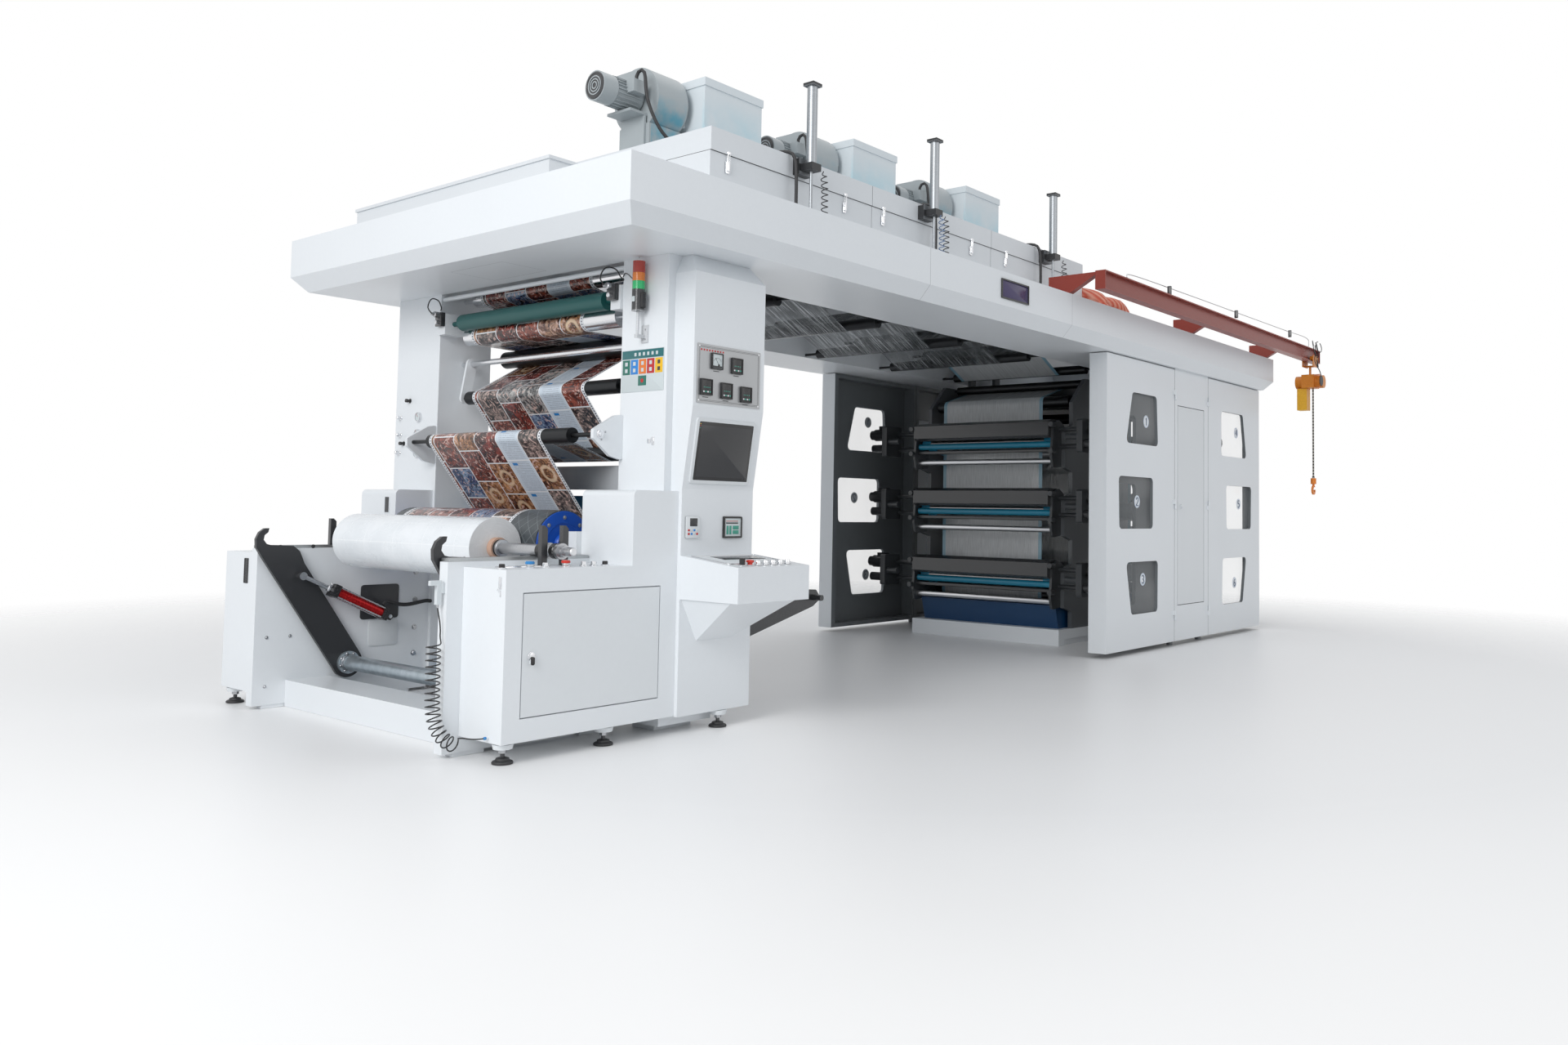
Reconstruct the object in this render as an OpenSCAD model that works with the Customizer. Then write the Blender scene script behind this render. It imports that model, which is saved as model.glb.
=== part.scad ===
/* [Print housing] */
// Half length of the side walls of the print section
house_half = 1881; // [1700:1:1900]
// Half width over the outer faces of the walls
house_side = 1605; // [1560:1:1640]
// Depth of the folded edge of a wall or leaf
wall_depth = 166; // [120:1:200]
// Thickness of the flat skin of a wall
skin_t = 30; // [20:1:45]
// Gap between a wall and the floor
wall_gap = 44; // [30:1:60]
// Length of the fixed middle wall
mid_len = 832; // [760:1:900]
// Length of the access leaf in the middle wall
access_len = 648; // [560:1:660]
// Height of the access leaf
access_h = 1910; // [1700:1:2000]
// Running gap round a hinged leaf
leaf_gap = 6; // [5:0.5:8]
// Radius of a hinge knuckle
knuckle_r = 9; // [8:0.5:10]
// Radius of a hinge pin
pin_r = 4; // [3:0.5:5]
// Thickness of the clear window panes
pane_t = 4; // [3:0.5:6]
// Overlap of a pane behind its hole
pane_lap = 15; // [10:1:20]

/* [Canopy] */
// How far the canopy reaches in front of the tower
canopy_reach = 644; // [600:1:700]
// How far the canopy reaches behind the print section
canopy_tail = 101; // [60:1:150]
// Half width of the canopy
canopy_side = 1733; // [1700:1:1800]
// Height of the flat underside
under_z = 2650; // [2640:1:2660]
// Height of the lower edge of the fascia
fascia_z = 2747; // [2720:1:2770]
// Height of the top of the canopy
roof_z = 2996; // [2960:1:3050]
// How far the chamfer runs in under the fascia
chamfer_in = 85; // [60:1:110]
// Half width of the open web channel in the underside
channel_side = 935; // [930:1:950]
// Thickness of the top skin over the channel
roof_t = 36; // [20:1:45]

/* [Tower] */
// Distance from the front of the tower to the print section
walkway = 4819; // [4700:1:4900]
// Depth of a column along the machine
tower_depth = 396; // [380:1:420]
// Outer face of the near column
tower_near_side = 1319; // [1300:1:1330]
// Outer face of the far column
tower_far_side = 1454; // [1400:1:1480]
// Height of the foot gap under the columns
tower_foot = 40; // [30:1:60]

/* [Console] */
// How far the console face stands behind the tower front
console_set = 51; // [40:1:70]
// Length of the console along the machine
console_len = 564; // [540:1:600]
// Outer face of the upper console
console_side = 1480; // [1450:1:1500]
// Outer face of the pedestal
pedestal_side = 1410; // [1390:1:1430]
// Height where the screen face starts to lean in
lean_top = 1800; // [1780:1:1820]
// Height where the screen face meets the pedestal
lean_foot = 1340; // [1320:1:1360]
// Outer face of the desk
desk_side = 1852; // [1800:1:1880]
// Height of the outer edge of the desk top
desk_top = 925; // [900:1:950]
// Depth of the desk box at its outer edge
desk_deep = 190; // [160:1:220]
// Width of the main screen frame
screen_w = 475; // [440:1:500]
// Height of the main screen frame
screen_h = 372; // [340:1:390]

/* [Winder frame] */
// Length of the side plates
plate_len = 1134; // [1100:1:1200]
// Inner face of the side plates
plate_in = 965; // [960:1:975]
// Thickness of the side plates
plate_t = 69; // [50:1:80]
// Top of the side plates
plate_top = 952; // [930:1:960]
// Bottom of the side plates
plate_low = 20; // [10:1:40]
// Thickness of the rail on the plates
rail_t = 18; // [12:1:24]
// Height of the front cross beam
beam_h = 158; // [140:1:185]
// How far the cross beam stands behind the plate fronts
beam_set = 197; // [150:1:210]
// Depth of the cross beam
beam_deep = 262; // [220:1:270]

/* [Winder cabinets] */
// How far the near cabinet stands behind the plate fronts
cab_set = 89; // [60:1:120]
// Outer face of the cabinets
cab_side = 1385; // [1360:1:1395]
// Bottom of the cabinets
cab_low = 100; // [80:1:120]
// Top of the low part of the cabinets
cab_top = 926; // [900:1:945]
// Length of the tall part
tall_len = 267; // [240:1:290]
// Top of the tall part
tall_top = 1326; // [1280:1:1360]
// Inner face of the tall part
tall_in = 958; // [950:1:962]
// Sheet thickness of the near cabinet
cab_t = 20; // [12:1:24]
// Edge radius of the tall part
tall_r = 32; // [20:1:50]
// How far the cabinet door stands behind the cabinet front
cdoor_set = 105; // [80:1:120]
// Length of the cabinet door
cdoor_len = 868; // [800:1:900]
// Bottom of the cabinet door
cdoor_low = 216; // [190:1:240]
// Height of the cabinet door
cdoor_h = 592; // [540:1:620]

/* [Rolls] */
// Radius of the wound film roll
roll_r = 165; // [100:1:165]
// Height of the roll axis
roll_z = 1001; // [998:0.5:1010]
// Width of the film roll
roll_w = 1445; // [1300:1:1500]
// How far the roll sits off centre
roll_off = 78; // [40:1:100]
// Radius of the winding drum
drum_r = 191; // [150:1:191]
// Distance of the drum axis in front of the tower
drum_set = 243; // [235:1:255]
// Gap between roll and drum where the film runs in
nip_gap = 1.5; // [1.4:0.1:2]
// Height of the drum axis
drum_z = 1020; // [1010:1:1040]
// Half length of the drum
drum_half = 767; // [740:1:780]
// Thickness of the film as modelled
film_t = 1; // [0.8:0.1:1.2]
// Gap between film and a roller
film_gap = 0.3; // [0.2:0.05:0.5]
// Width of the printed film
web_w = 1165; // [1000:1:1200]
// How far the film runs off centre
web_off = 98; // [60:1:120]

/* [Lift arms] */
// Distance of the arm pivot in front of the tower
piv_set = 570; // [560:1:580]
// Height of the arm pivot
piv_z = 235; // [230:1:245]
// Thickness of an arm plate
arm_t = 25; // [16:1:28]
// Gap between an arm and the side plate
arm_gap = 15; // [8:1:20]
// Radius of the tube between the arms
torque_r = 46; // [35:1:50]
// Radius of the pivot journals
journal_r = 30; // [24:1:34]

/* [Print units] */
// Half length of the base plinth
base_half = 1300; // [1260:1:1330]
// Half width of the base plinth
base_side = 840; // [830:1:850]
// Height of the base plinth
base_h = 150; // [130:1:170]
// Inner face of the unit side frames
frame_in = 800; // [795:1:805]
// Thickness of the unit side frames
frame_t = 40; // [30:1:40]
// Radius of the bright deck rollers
deck_r = 27; // [22:1:32]
// Distance of the deck rollers from the middle
deck_x = 1290; // [1270:1:1310]
// Distance of the film in the print units from the middle
web_x = 1000; // [990:1:1010]
// Radius of the plate cylinders
plate_cyl_r = 88; // [70:1:90]
// Radius of the back pressure cylinders
press_cyl_r = 95; // [80:1:100]

/* [Drying hoods] */
// How far the first hood stands behind the canopy front
hood_set = 914; // [860:1:960]
// Length of one hood
hood_len = 1527; // [1500:1:1530]
// Half width of the hoods
hood_side = 1350; // [1300:1:1380]
// Height of the hood tops
hood_top = 3440; // [3400:1:3480]
// Height of the seam between hood and tray
hood_seam = 3300; // [3260:1:3320]
// Radius of a blower housing
fan_r = 208; // [180:1:220]
// Height of the blower axis above the hoods
fan_up = 370; // [350:1:400]
// Distance of the blowers from the centre line
fan_y = 500; // [450:1:550]

/* [Hoist] */
// Distance of the hoist beam from the centre line
rail_y = 1980; // [1960:1:2020]
// Height of the underside of the hoist beam
rail_z = 3010; // [3000:1:3060]
// Depth of the hoist beam
rail_h = 150; // [120:1:160]
// Width of the beam flanges
rail_w = 88; // [74:1:100]
// Length of the hoist beam
rail_len = 5460; // [5300:1:5600]
// How far the hoist beam reaches behind the canopy
rail_tail = 718; // [650:1:760]
// Distance of the parked trolley from the rear end of the beam
trolley_set = 210; // [150:1:250]
// Height of the tip of the load hook
hook_z = 1500; // [1450:1:1700]

/* [Hidden] */
$fn = 48;
eps = 0.3;

mid_front = -18 - mid_len / 2;
mid_rear = mid_front + mid_len;
tower_front = -house_half - walkway;
tower_back = tower_front + tower_depth;
canopy_front = tower_front - canopy_reach;
canopy_rear = house_half + canopy_tail;
console_front = tower_front + console_set;
plate_front = tower_front - plate_len;
beam_front = plate_front + beam_set;
cab_front = plate_front + cab_set;
tall_front = tower_front - tall_len;
cdoor_front = cab_front + cdoor_set;
drum_x = tower_front - drum_set;
roll_x = drum_x - sqrt(pow(drum_r + roll_r + nip_gap, 2) - pow(drum_z - roll_z, 2));
piv_x = tower_front - piv_set;
hood_front = canopy_front + hood_set;
rail_rear = canopy_rear + rail_tail;
rail_front = rail_rear - rail_len;
trolley_x = rail_rear - trolley_set;
console_back = console_front + console_len;
hinge_heights = [291, 1346, 2396];
leaf_low = wall_gap;
leaf_top = under_z - 8;
deck_z = [410, 1085, 1735];
web_half = web_w / 2;
film_r = film_gap + film_t / 2;
rail_top = plate_top + rail_t;
shaft_r = roll_z - rail_top - eps;
white = [0.90, 0.92, 0.93];
dark = [0.13, 0.13, 0.14];
steel = [0.72, 0.73, 0.75];

// Corners of the six windows, as distance from the middle and height, front leaf first
front_windows = [
  [[-1369, 2341], [-851, 2341], [-821, 1878], [-1499, 1878]],
  [[-1644, 1580], [-931, 1580], [-931, 1114], [-1628, 1114]],
  [[-1490, 817], [-818, 817], [-824, 349], [-1380, 349]]];
rear_windows = [
  [[761, 2335], [1379, 2335], [1483, 1868], [761, 1868]],
  [[895, 1563], [1632, 1563], [1617, 1104], [906, 1104]],
  [[798, 803], [1478, 803], [1371, 325], [777, 325]]];

// Shared shapes

module block(a, b) {
  translate(a) cube([b[0] - a[0], b[1] - a[1], b[2] - a[2]]);
}

module both_sides() {
  children();
  mirror([0, 1, 0]) children();
}

module rod_y(x, z, r, y0, y1) {
  translate([x, y1, z]) rotate([90, 0, 0]) cylinder(r = r, h = y1 - y0);
}

module rod_x(y, z, r, x0, x1) {
  translate([x0, y, z]) rotate([0, 90, 0]) cylinder(r = r, h = x1 - x0);
}

module rod_z(x, y, r, z0, z1) {
  translate([x, y, z0]) cylinder(r = r, h = z1 - z0);
}

// Outline in X and Z, drawn out across the machine
module across(points, y0, y1) {
  translate([0, y1, 0]) rotate([90, 0, 0]) linear_extrude(y1 - y0) polygon(points);
}

// Outline in Y and Z, drawn out along the machine
module along(points, x0, x1) {
  translate([x0, 0, 0]) rotate([90, 0, 90]) linear_extrude(x1 - x0) polygon(points);
}

function unit(v) = v / norm(v);
function turn(a) = a - 360 * floor((a + 180) / 360);

// Outline with every corner rounded to radius r by an arc of n steps
function rounded(p, r, n = 5) = [
  for (i = [0:len(p) - 1])
    let (b = p[i], u = unit(p[(i + len(p) - 1) % len(p)] - b), v = unit(p[(i + 1) % len(p)] - b))
    let (half = acos(max(-1, min(1, u * v))) / 2, c = b + unit(u + v) * r / sin(half))
    let (s = b + u * r / tan(half) - c, e = b + v * r / tan(half) - c)
    let (a0 = atan2(s[1], s[0]), d = turn(atan2(e[1], e[0]) - a0))
    for (k = [0:n]) c + r * [cos(a0 + d * k / n), sin(a0 + d * k / n)]];

// Outline grown outwards by g at each corner, for the pane behind a window
function grown(p, g) = [
  for (i = [0:len(p) - 1])
    let (b = p[i], u = unit(p[(i + len(p) - 1) % len(p)] - b), v = unit(p[(i + 1) % len(p)] - b))
    b - unit(u + v) * g / sin(acos(u * v) / 2)];

function rect(x0, x1, z0, z1) = [[x0, z0], [x1, z0], [x1, z1], [x0, z1]];
function flip(p) = [for (i = [len(p) - 1:-1:0]) [-p[i][0], p[i][1]]];

// Film over rollers given as [x, z, r, side]: side 1 has the roller on the left of travel
function heading(a, b) =
  let (d = [b[0] - a[0], b[1] - a[1]])
  atan2(d[1], d[0]) - asin((b[3] * (b[2] + film_r) - a[3] * (a[2] + film_r)) / norm(d));
function beside(c, t, w) =
  [c[0], c[1]] - (c[3] * (c[2] + film_r) + w) * [-sin(t), cos(t)];
function wrap(c, t0, t1, w) =
  let (d = c[3] > 0 ? t1 - t0 - 360 * floor((t1 - t0) / 360) : t1 - t0 - 360 * ceil((t1 - t0) / 360))
  let (n = ceil(abs(d) / (2 * acos(1 - 0.15 / c[2]))))
  [for (k = [0:n]) beside(c, t0 + d * k / n, w)];
function film_edge(p, w, t_end) = concat(
  [beside(p[0], heading(p[0], p[1]), w)],
  [for (i = [1:1:len(p) - 2]) each wrap(p[i], heading(p[i - 1], p[i]), heading(p[i], p[i + 1]), w)],
  is_undef(t_end) ? [beside(p[len(p) - 1], heading(p[len(p) - 2], p[len(p) - 1]), w)] :
    wrap(p[len(p) - 1], heading(p[len(p) - 2], p[len(p) - 1]), t_end, w));
function reversed(p) = [for (i = [len(p) - 1:-1:0]) p[i]];
module film(path, t_end) {
  outline = concat(film_edge(path, film_t / 2, t_end), reversed(film_edge(path, -film_t / 2, t_end)));
  across(outline, web_off - web_half, web_off + web_half);
}

// Tube swept along points with n sides, one ring at each point
module tube(points, r, n = 8) {
  m = len(points);
  dirs = [for (i = [0:m - 1]) unit(points[min(i + 1, m - 1)] - points[max(i - 1, 0)])];
  ring = [for (i = [0:m - 1])
    let (d = dirs[i], s = unit(cross(d, abs(d[2]) > 0.9 ? [1, 0, 0] : [0, 0, 1])), t = cross(d, s))
    for (k = [0:n - 1]) points[i] + r * (cos(360 * k / n) * s + sin(360 * k / n) * t)];
  sides = [for (i = [0:m - 2]) for (k = [0:n - 1])
    [i * n + k, (i + 1) * n + k, (i + 1) * n + (k + 1) % n, i * n + (k + 1) % n]];
  polyhedron(ring, concat(sides, [[for (k = [0:n - 1]) k]],
    [[for (k = [n - 1:-1:0]) (m - 1) * n + k]]), convexity = 6);
}

// Points on a smooth curve through the given ones, s steps to a span
function curve(p, s = 4) = [
  for (i = [0:len(p) - 2]) for (k = [0:s - (i == len(p) - 2 ? 0 : 1)])
    let (a = p[max(i - 1, 0)], b = p[i], c = p[i + 1], d = p[min(i + 2, len(p) - 1)], t = k / s)
    0.5 * (2 * b + (c - a) * t + (2 * a - 5 * b + 4 * c - d) * t * t + (3 * b - a - 3 * c + d) * t * t * t)];

// Print units

module print_base() {
  color(white) difference() {
    block([-base_half, -base_side, 0], [base_half, base_side, base_h]);
    both_sides() block([-base_half + 120, base_side - 30, -1], [base_half - 120, base_side + 1, 60]);
  }
}

module drip_tray() {
  tray = base_half - 60;
  t = 12;
  outer = [[-tray + 60, base_h + eps], [tray - 60, base_h + eps], [tray, 370], [-tray, 370]];
  inner = [[-tray + 60 + t, base_h + t], [tray - 60 - t, base_h + t], [tray - t, 371], [-tray + t, 371]];
  color([0.05, 0.16, 0.33]) difference() {
    across(outer, -frame_in + 30, frame_in - 30);
    across(inner, -frame_in + 30 + t, frame_in - 30 - t);
  }
}

frame_half = 1050;
frame_top = 2560;
lobe = 1200;
function frame_side() = concat([[frame_half, base_h]],
  [for (z = deck_z) each [[frame_half, z - 100], [lobe, z - 60], [lobe, z + 300], [frame_half, z + 350]]],
  [[frame_half, frame_top - 250], [frame_half - 260, frame_top]]);

module unit_frames() {
  windows = [rect(-360, 360, 300, 820), rect(-360, 360, 1000, 1560), rect(-360, 360, 1740, 2280)];
  color([0.62, 0.65, 0.66]) both_sides() difference() {
    across(concat(frame_side(), flip(frame_side())), frame_in, frame_in + frame_t);
    for (w = windows) across(rounded(w, 60), frame_in - 1, frame_in + frame_t + 1);
  }
  color([0.62, 0.65, 0.66]) {
    for (x = [-500, 500]) block([x - 50, -frame_in, 2400], [x + 50, frame_in, 2500]);
    both_sides() for (x = [-250, 250]) block([x - 50, frame_in, 2500],
      [x + 50, frame_in + frame_t, roof_z - roof_t - eps]);
  }
}

press_x = web_x - film_t / 2 - film_gap - press_cyl_r;
plate_cyl_x = web_x + film_t / 2 + film_gap + plate_cyl_r;
anilox_r = 50;
anilox_x = plate_cyl_x + plate_cyl_r + anilox_r + 0.6;
cyl_up = 190;

module print_cylinders() {
  color(steel) for (z = deck_z, s = [-1, 1]) {
    for (c = [[press_x, press_cyl_r], [plate_cyl_x, plate_cyl_r], [anilox_x, anilox_r]]) {
      rod_y(s * c[0], z + cyl_up, c[1], -frame_in + 42, frame_in - 42);
      both_sides() rod_y(s * c[0], z + cyl_up, 24, frame_in - 42, frame_in - 42 + (c[0] < lobe ? 42 : 16));
    }
  }
}

module deck_rollers() {
  color([0.80, 0.81, 0.82]) for (z = deck_z, s = [-1, 1]) {
    rod_y(s * deck_x, z, deck_r, -frame_in + 28, frame_in - 28);
    both_sides() rod_y(s * deck_x, z, deck_r / 2, frame_in - 28, frame_in - 26);
  }
}

// Side plate of a deck, with its gear block and the shafts that join them
module deck_brackets() {
  outline = rounded([[lobe - 60, -50], [deck_x + 60, -70], [deck_x + 90, 40], [deck_x + 60, 330],
    [lobe + 40, 390], [lobe - 60, 340]], 24, 3);
  gear = rounded(rect(lobe - 10, lobe + 250, 70, 380), 20, 3);
  color([0.55, 0.57, 0.58]) for (s = [0, 1]) mirror([s, 0, 0]) both_sides() for (z = deck_z) {
    translate([0, 0, z]) {
      across(outline, frame_in - 26, frame_in - 1);
      block([lobe - 60, frame_in - 1, 0], [lobe - 20, frame_in, 260]);
      difference() {
        across(gear, 1090, 1150);
        across(rounded(rect(lobe + 40, lobe + 180, 150, 290), 40, 3), 1140, 1151);
      }
      rod_y(lobe + 24, 140, 22, frame_in - 1, 1090);
      rod_y(lobe + 24, 300, 22, frame_in - 1, 1090);
      rod_y(deck_x + 110, 220, 30, 960, 1090);
      for (k = [90, 340]) rod_x(frame_in + 2, k, 24, deck_x + 50, deck_x + 130);
    }
  }
}

module ink_units() {
  cover = [[deck_x - 10, 258], [deck_x + 80, 215], [deck_x + 120, 240], [deck_x + 115, 365],
    [deck_x + 60, 392],
    [deck_x - 60, 392], [deck_x - 60, 300]];
  beam = rounded(rect(deck_x - 40, deck_x + 40, 84, 116), 8, 2);
  half = frame_in - 26 - eps;
  color(dark) for (s = [0, 1]) mirror([s, 0, 0]) for (z = deck_z) translate([0, 0, z]) {
    across(cover, -half, half);
    across(beam, -half, half);
    both_sides() {
      rod_y(lobe + 90, 300, 62, 1150 + eps, 1345);
      rod_y(lobe + 90, 300, 50, 1345, 1395);
      block([lobe + 50, 1180, 350], [lobe + 130, 1280, 392]);
      rod_y(lobe + 190, 150, 42, 1150 + eps, 1300);
    }
  }
}

module ink_rollers() {
  color([0.05, 0.45, 0.60]) for (z = deck_z, s = [-1, 1]) {
    rod_y(s * (deck_x + 20), z + 160, 30, -frame_in + 40, frame_in - 40);
    both_sides() rod_y(s * (deck_x + 20), z + 160, 12, frame_in - 40, frame_in - 26.3);
  }
}

// Walls and leaves: a skin with its edge folded inwards all round

module folded(x0, x1, z0, z1, rim, deep_front, deep_rear) {
  difference() {
    block([x0, house_side - wall_depth, z0], [x1, house_side, z1]);
    block([x0 + deep_front, house_side - wall_depth - 1, z0 + rim],
      [x1 - deep_rear, house_side - skin_t, z1 - rim]);
  }
}

// Knuckle and flap of one half of each hinge, with the pin on the lower half
module hinge_half(x, way, upper) {
  face = house_side;
  c = face + knuckle_r + 1;
  for (z = hinge_heights) {
    low = upper ? z : z - 46;
    difference() {
      union() {
        rod_z(x, c, knuckle_r, low, low + 45);
        block([min(x, x + way * 36), c - 4, low], [max(x, x + way * 36), c + 2, low + 45]);
        block([min(x + way * 10, x + way * 36), face, low], [max(x + way * 10, x + way * 36), c, low + 45]);
      }
      if (upper) rod_z(x, c, pin_r + 0.05, low - 1, low + 46);
    }
    if (!upper) rod_z(x, c, pin_r, z - 2, z + 44);
  }
}

hinge_front = mid_front - leaf_gap / 2;
hinge_rear = mid_rear + leaf_gap / 2;
door_in = 20;
access_front = mid_front + (mid_len - access_len) / 2 - 21;
access_rear = access_front + access_len;
access_low = 385;
access_top = access_low + access_h;

module wall_solid() {
  rim = 40;
  difference() {
    union() {
      folded(mid_front, mid_rear, wall_gap, under_z - eps, rim, 50, 50);
    }
    block([access_front - leaf_gap, house_side - wall_depth - 1, access_low - leaf_gap],
      [access_rear + leaf_gap, house_side + 1, access_top + leaf_gap]);
  }
  difference() {
    block([access_front - 30, house_side - skin_t - 12, access_low - 30],
      [access_rear + 30, house_side - skin_t, access_top + 30]);
    block([access_front + 12, house_side - skin_t - 13, access_low + 12],
      [access_rear - 12, house_side - skin_t + 1, access_top - 12]);
  }
  hinge_half(hinge_front, 1, false);
  hinge_half(hinge_rear, -1, false);
  for (x = [mid_front + 70, mid_rear - 70]) rod_z(x, house_side - 80, 30, 0, wall_gap);
}

module wall_near() {
  color(white) mirror([0, 1, 0]) wall_solid();
}

module wall_far() {
  color(white) wall_solid();
}

module leaf(front) {
  x0 = front ? -house_half : mid_rear + leaf_gap;
  x1 = front ? mid_front - leaf_gap : house_half;
  windows = front ? front_windows : rear_windows;
  difference() {
    folded(x0, x1, leaf_low, leaf_top, 40, front ? 60 : 40, front ? 40 : 60);
    for (w = windows) across(rounded(w, 45), house_side - skin_t - 1, house_side + 1);
  }
  hinge_half(front ? hinge_front : hinge_rear, front ? -1 : 1, true);
}

module panes(front) {
  y1 = house_side - skin_t - eps;
  for (w = front ? front_windows : rear_windows) across(rounded(grown(w, pane_lap), 55), y1 - pane_t, y1);
}

module door_front_near() { color(white) mirror([0, 1, 0]) leaf(true); }
module door_rear_near() { color(white) mirror([0, 1, 0]) leaf(false); }
module door_front_far() { color(white) leaf(true); }
module door_rear_far() { color(white) leaf(false); }
module window_front_near() { color([0.8, 0.85, 0.88, 0.5]) mirror([0, 1, 0]) panes(true); }
module window_rear_near() { color([0.8, 0.85, 0.88, 0.5]) mirror([0, 1, 0]) panes(false); }
module window_front_far() { color([0.8, 0.85, 0.88, 0.5]) panes(true); }
module window_rear_far() { color([0.8, 0.85, 0.88, 0.5]) panes(false); }

// Access leaf in the middle wall, hinged at its rear edge
module access_leaf() {
  y0 = house_side - skin_t + eps;
  block([access_front, y0, access_low], [access_rear, house_side, access_top]);
  rod_y(access_front + 76, 1333, 14, house_side, house_side + 12);
  block([access_front + 72, house_side, 1300], [access_front + 80, house_side + 16, 1322]);
}

module access_door_near() { color(white) mirror([0, 1, 0]) access_leaf(); }
module access_door_far() { color(white) access_leaf(); }

// Canopy

module canopy() {
  slope = roof_z - fascia_z;
  side = [[-canopy_side, fascia_z], [-canopy_side + chamfer_in, under_z],
    [canopy_side - chamfer_in, under_z],
    [canopy_side, fascia_z], [canopy_side, roof_z], [-canopy_side, roof_z]];
  end = [[canopy_front, fascia_z], [canopy_front + chamfer_in, under_z],
    [canopy_rear - chamfer_in, under_z],
    [canopy_rear, fascia_z], [canopy_rear, fascia_z + slope], [canopy_front, fascia_z + slope]];
  color(white) difference() {
    intersection() {
      along(side, canopy_front - 1, canopy_rear + 1);
      across(end, -canopy_side - 1, canopy_side + 1);
    }
    block([tower_front + 10, -channel_side, under_z - 1], [house_half - 80, channel_side, roof_z - roof_t]);
  }
}

// Tower

module towers() {
  top = under_z - eps;
  color(white) {
    block([tower_front, -tower_near_side, tower_foot], [tower_back, -channel_side, top]);
    block([tower_front, channel_side, tower_foot], [tower_back, tower_far_side, top]);
    for (y = [-1130, 1190]) block([tower_front + 60, y - 90, 0], [tower_back - 60, y + 90, tower_foot]);
    rod_y(tower_front + 25, under_z - 32, 15, -channel_side, channel_side);
    block([tower_back - 30, -channel_side, 1340], [tower_back - 12, channel_side, 1490]);
  }
}

module blue_beams() {
  half = channel_side - eps;
  color([0.03, 0.35, 0.55]) {
    block([tower_back - 110, -half, 1180], [tower_back - 10, half, 1300]);
    block([tower_front + 60, -half, 90], [tower_front + 200, half, 230]);
  }
}

// Console with its leaning screen face, and the desk that hangs on the pedestal

module console() {
  inner = tower_near_side + eps;
  face = [[-inner, 96], [-pedestal_side, 96], [-pedestal_side, lean_foot], [-console_side, lean_top],
    [-console_side, 2545], [-console_side + 80, under_z - eps], [-inner, under_z - eps]];
  ends = [[console_front, 96], [console_back, 96], [console_back, 2545], [console_back - 50, under_z - eps],
    [console_front + 50, under_z - eps], [console_front, 2545]];
  color(white) intersection() {
    along(face, console_front - 1, console_back + 1);
    across(ends, -console_side - 1, 0);
  }
}

module desk() {
  inner = pedestal_side + eps;
  low = desk_top - desk_deep;
  box = [[-inner, low], [-inner, desk_top + 48], [-desk_side, desk_top], [-desk_side, low]];
  gusset = [[-inner, low + 1], [-desk_side + 60, low + 1], [-inner, low - 235]];
  taper = [[console_front + 10, low + 1], [console_front + 130, low - 236], [console_back - 165, low - 236],
    [console_back - 20, low + 1]];
  color(white) {
    along(box, console_front, console_back + 5);
    intersection() {
      along(gusset, console_front, console_back);
      across(taper, -desk_side, -inner);
    }
  }
}

lean = atan((console_side - pedestal_side) / (lean_top - lean_foot));

// Places children on the leaning face, x along the machine, y up the slope, z outwards
module on_lean(x, up) {
  d = [0, pedestal_side - console_side, lean_top - lean_foot];
  translate([x, -pedestal_side, lean_foot] + unit(d) * up) rotate([90 + lean, 0, 0]) children();
}

module console_screen() {
  mid = console_front + console_len / 2 - 6;
  w = screen_w;
  h = screen_h;
  color([0.75, 0.78, 0.80]) on_lean(mid, 30) translate([0, h / 2, eps]) difference() {
    linear_extrude(10) polygon(rounded(rect(-w / 2, w / 2, -h / 2, h / 2), 18));
    translate([0, 0, 2]) linear_extrude(9)
      polygon(rounded(rect(-w / 2 + 16, w / 2 - 16, -h / 2 + 16, h / 2 - 16), 8));
  }
  color(dark) on_lean(mid, 30) translate([0, h / 2, eps + 2.3]) linear_extrude(5)
    polygon(rounded(rect(-w / 2 + 17, w / 2 - 17, -h / 2 + 17, h / 2 - 17), 7));
}

// A plate or button box on the upper face, given by its centre and size
module on_face(x, z, w, h, t, y) {
  translate([x, -y, z]) rotate([90, 0, 0]) linear_extrude(t) polygon(rounded(rect(-w / 2, w / 2, -h / 2,
    h / 2), 4, 2));
}

buttons_y = 1285;
cab_buttons = [44, 205, 298, 423, 537, 601, 676];
module controls() {
  color([0.72, 0.74, 0.75]) on_face(console_front + 274, 1980, 505, 330, 4, console_side + eps);
  color(dark) {
    for (c = [[168, 2056, 9], [326, 2045, 11], [88, 1905, 11], [246, 1896, 11], [404, 1888, 11]])
      on_face(console_front + c[0], c[1], 88, 92, c[2], console_side + 4 + 2 * eps);
    on_face(console_front + 79, 1128, 105, 120, 8, pedestal_side + eps);
    on_face(console_front + 394, 1128, 150, 124, 8, pedestal_side + eps);
  }
  // Row of buttons on the near cabinet, with a mushroom stop button
  for (k = [0:len(cab_buttons) - 1]) {
    big = k == 1 || k == 3;
    color(dark) rod_z(cab_front + cab_buttons[k], -buttons_y, big ? 19 : 12, cab_top + eps,
      cab_top + (big ? 34 : 24));
  }
  color(dark) for (k = [0:6]) {
    x = console_front + 90 + 60 * k;
    rod_z(x, -desk_side + 60, 12, desk_top + 8.1, desk_top + (k == 0 ? 44 : 30));
  }
}

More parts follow.
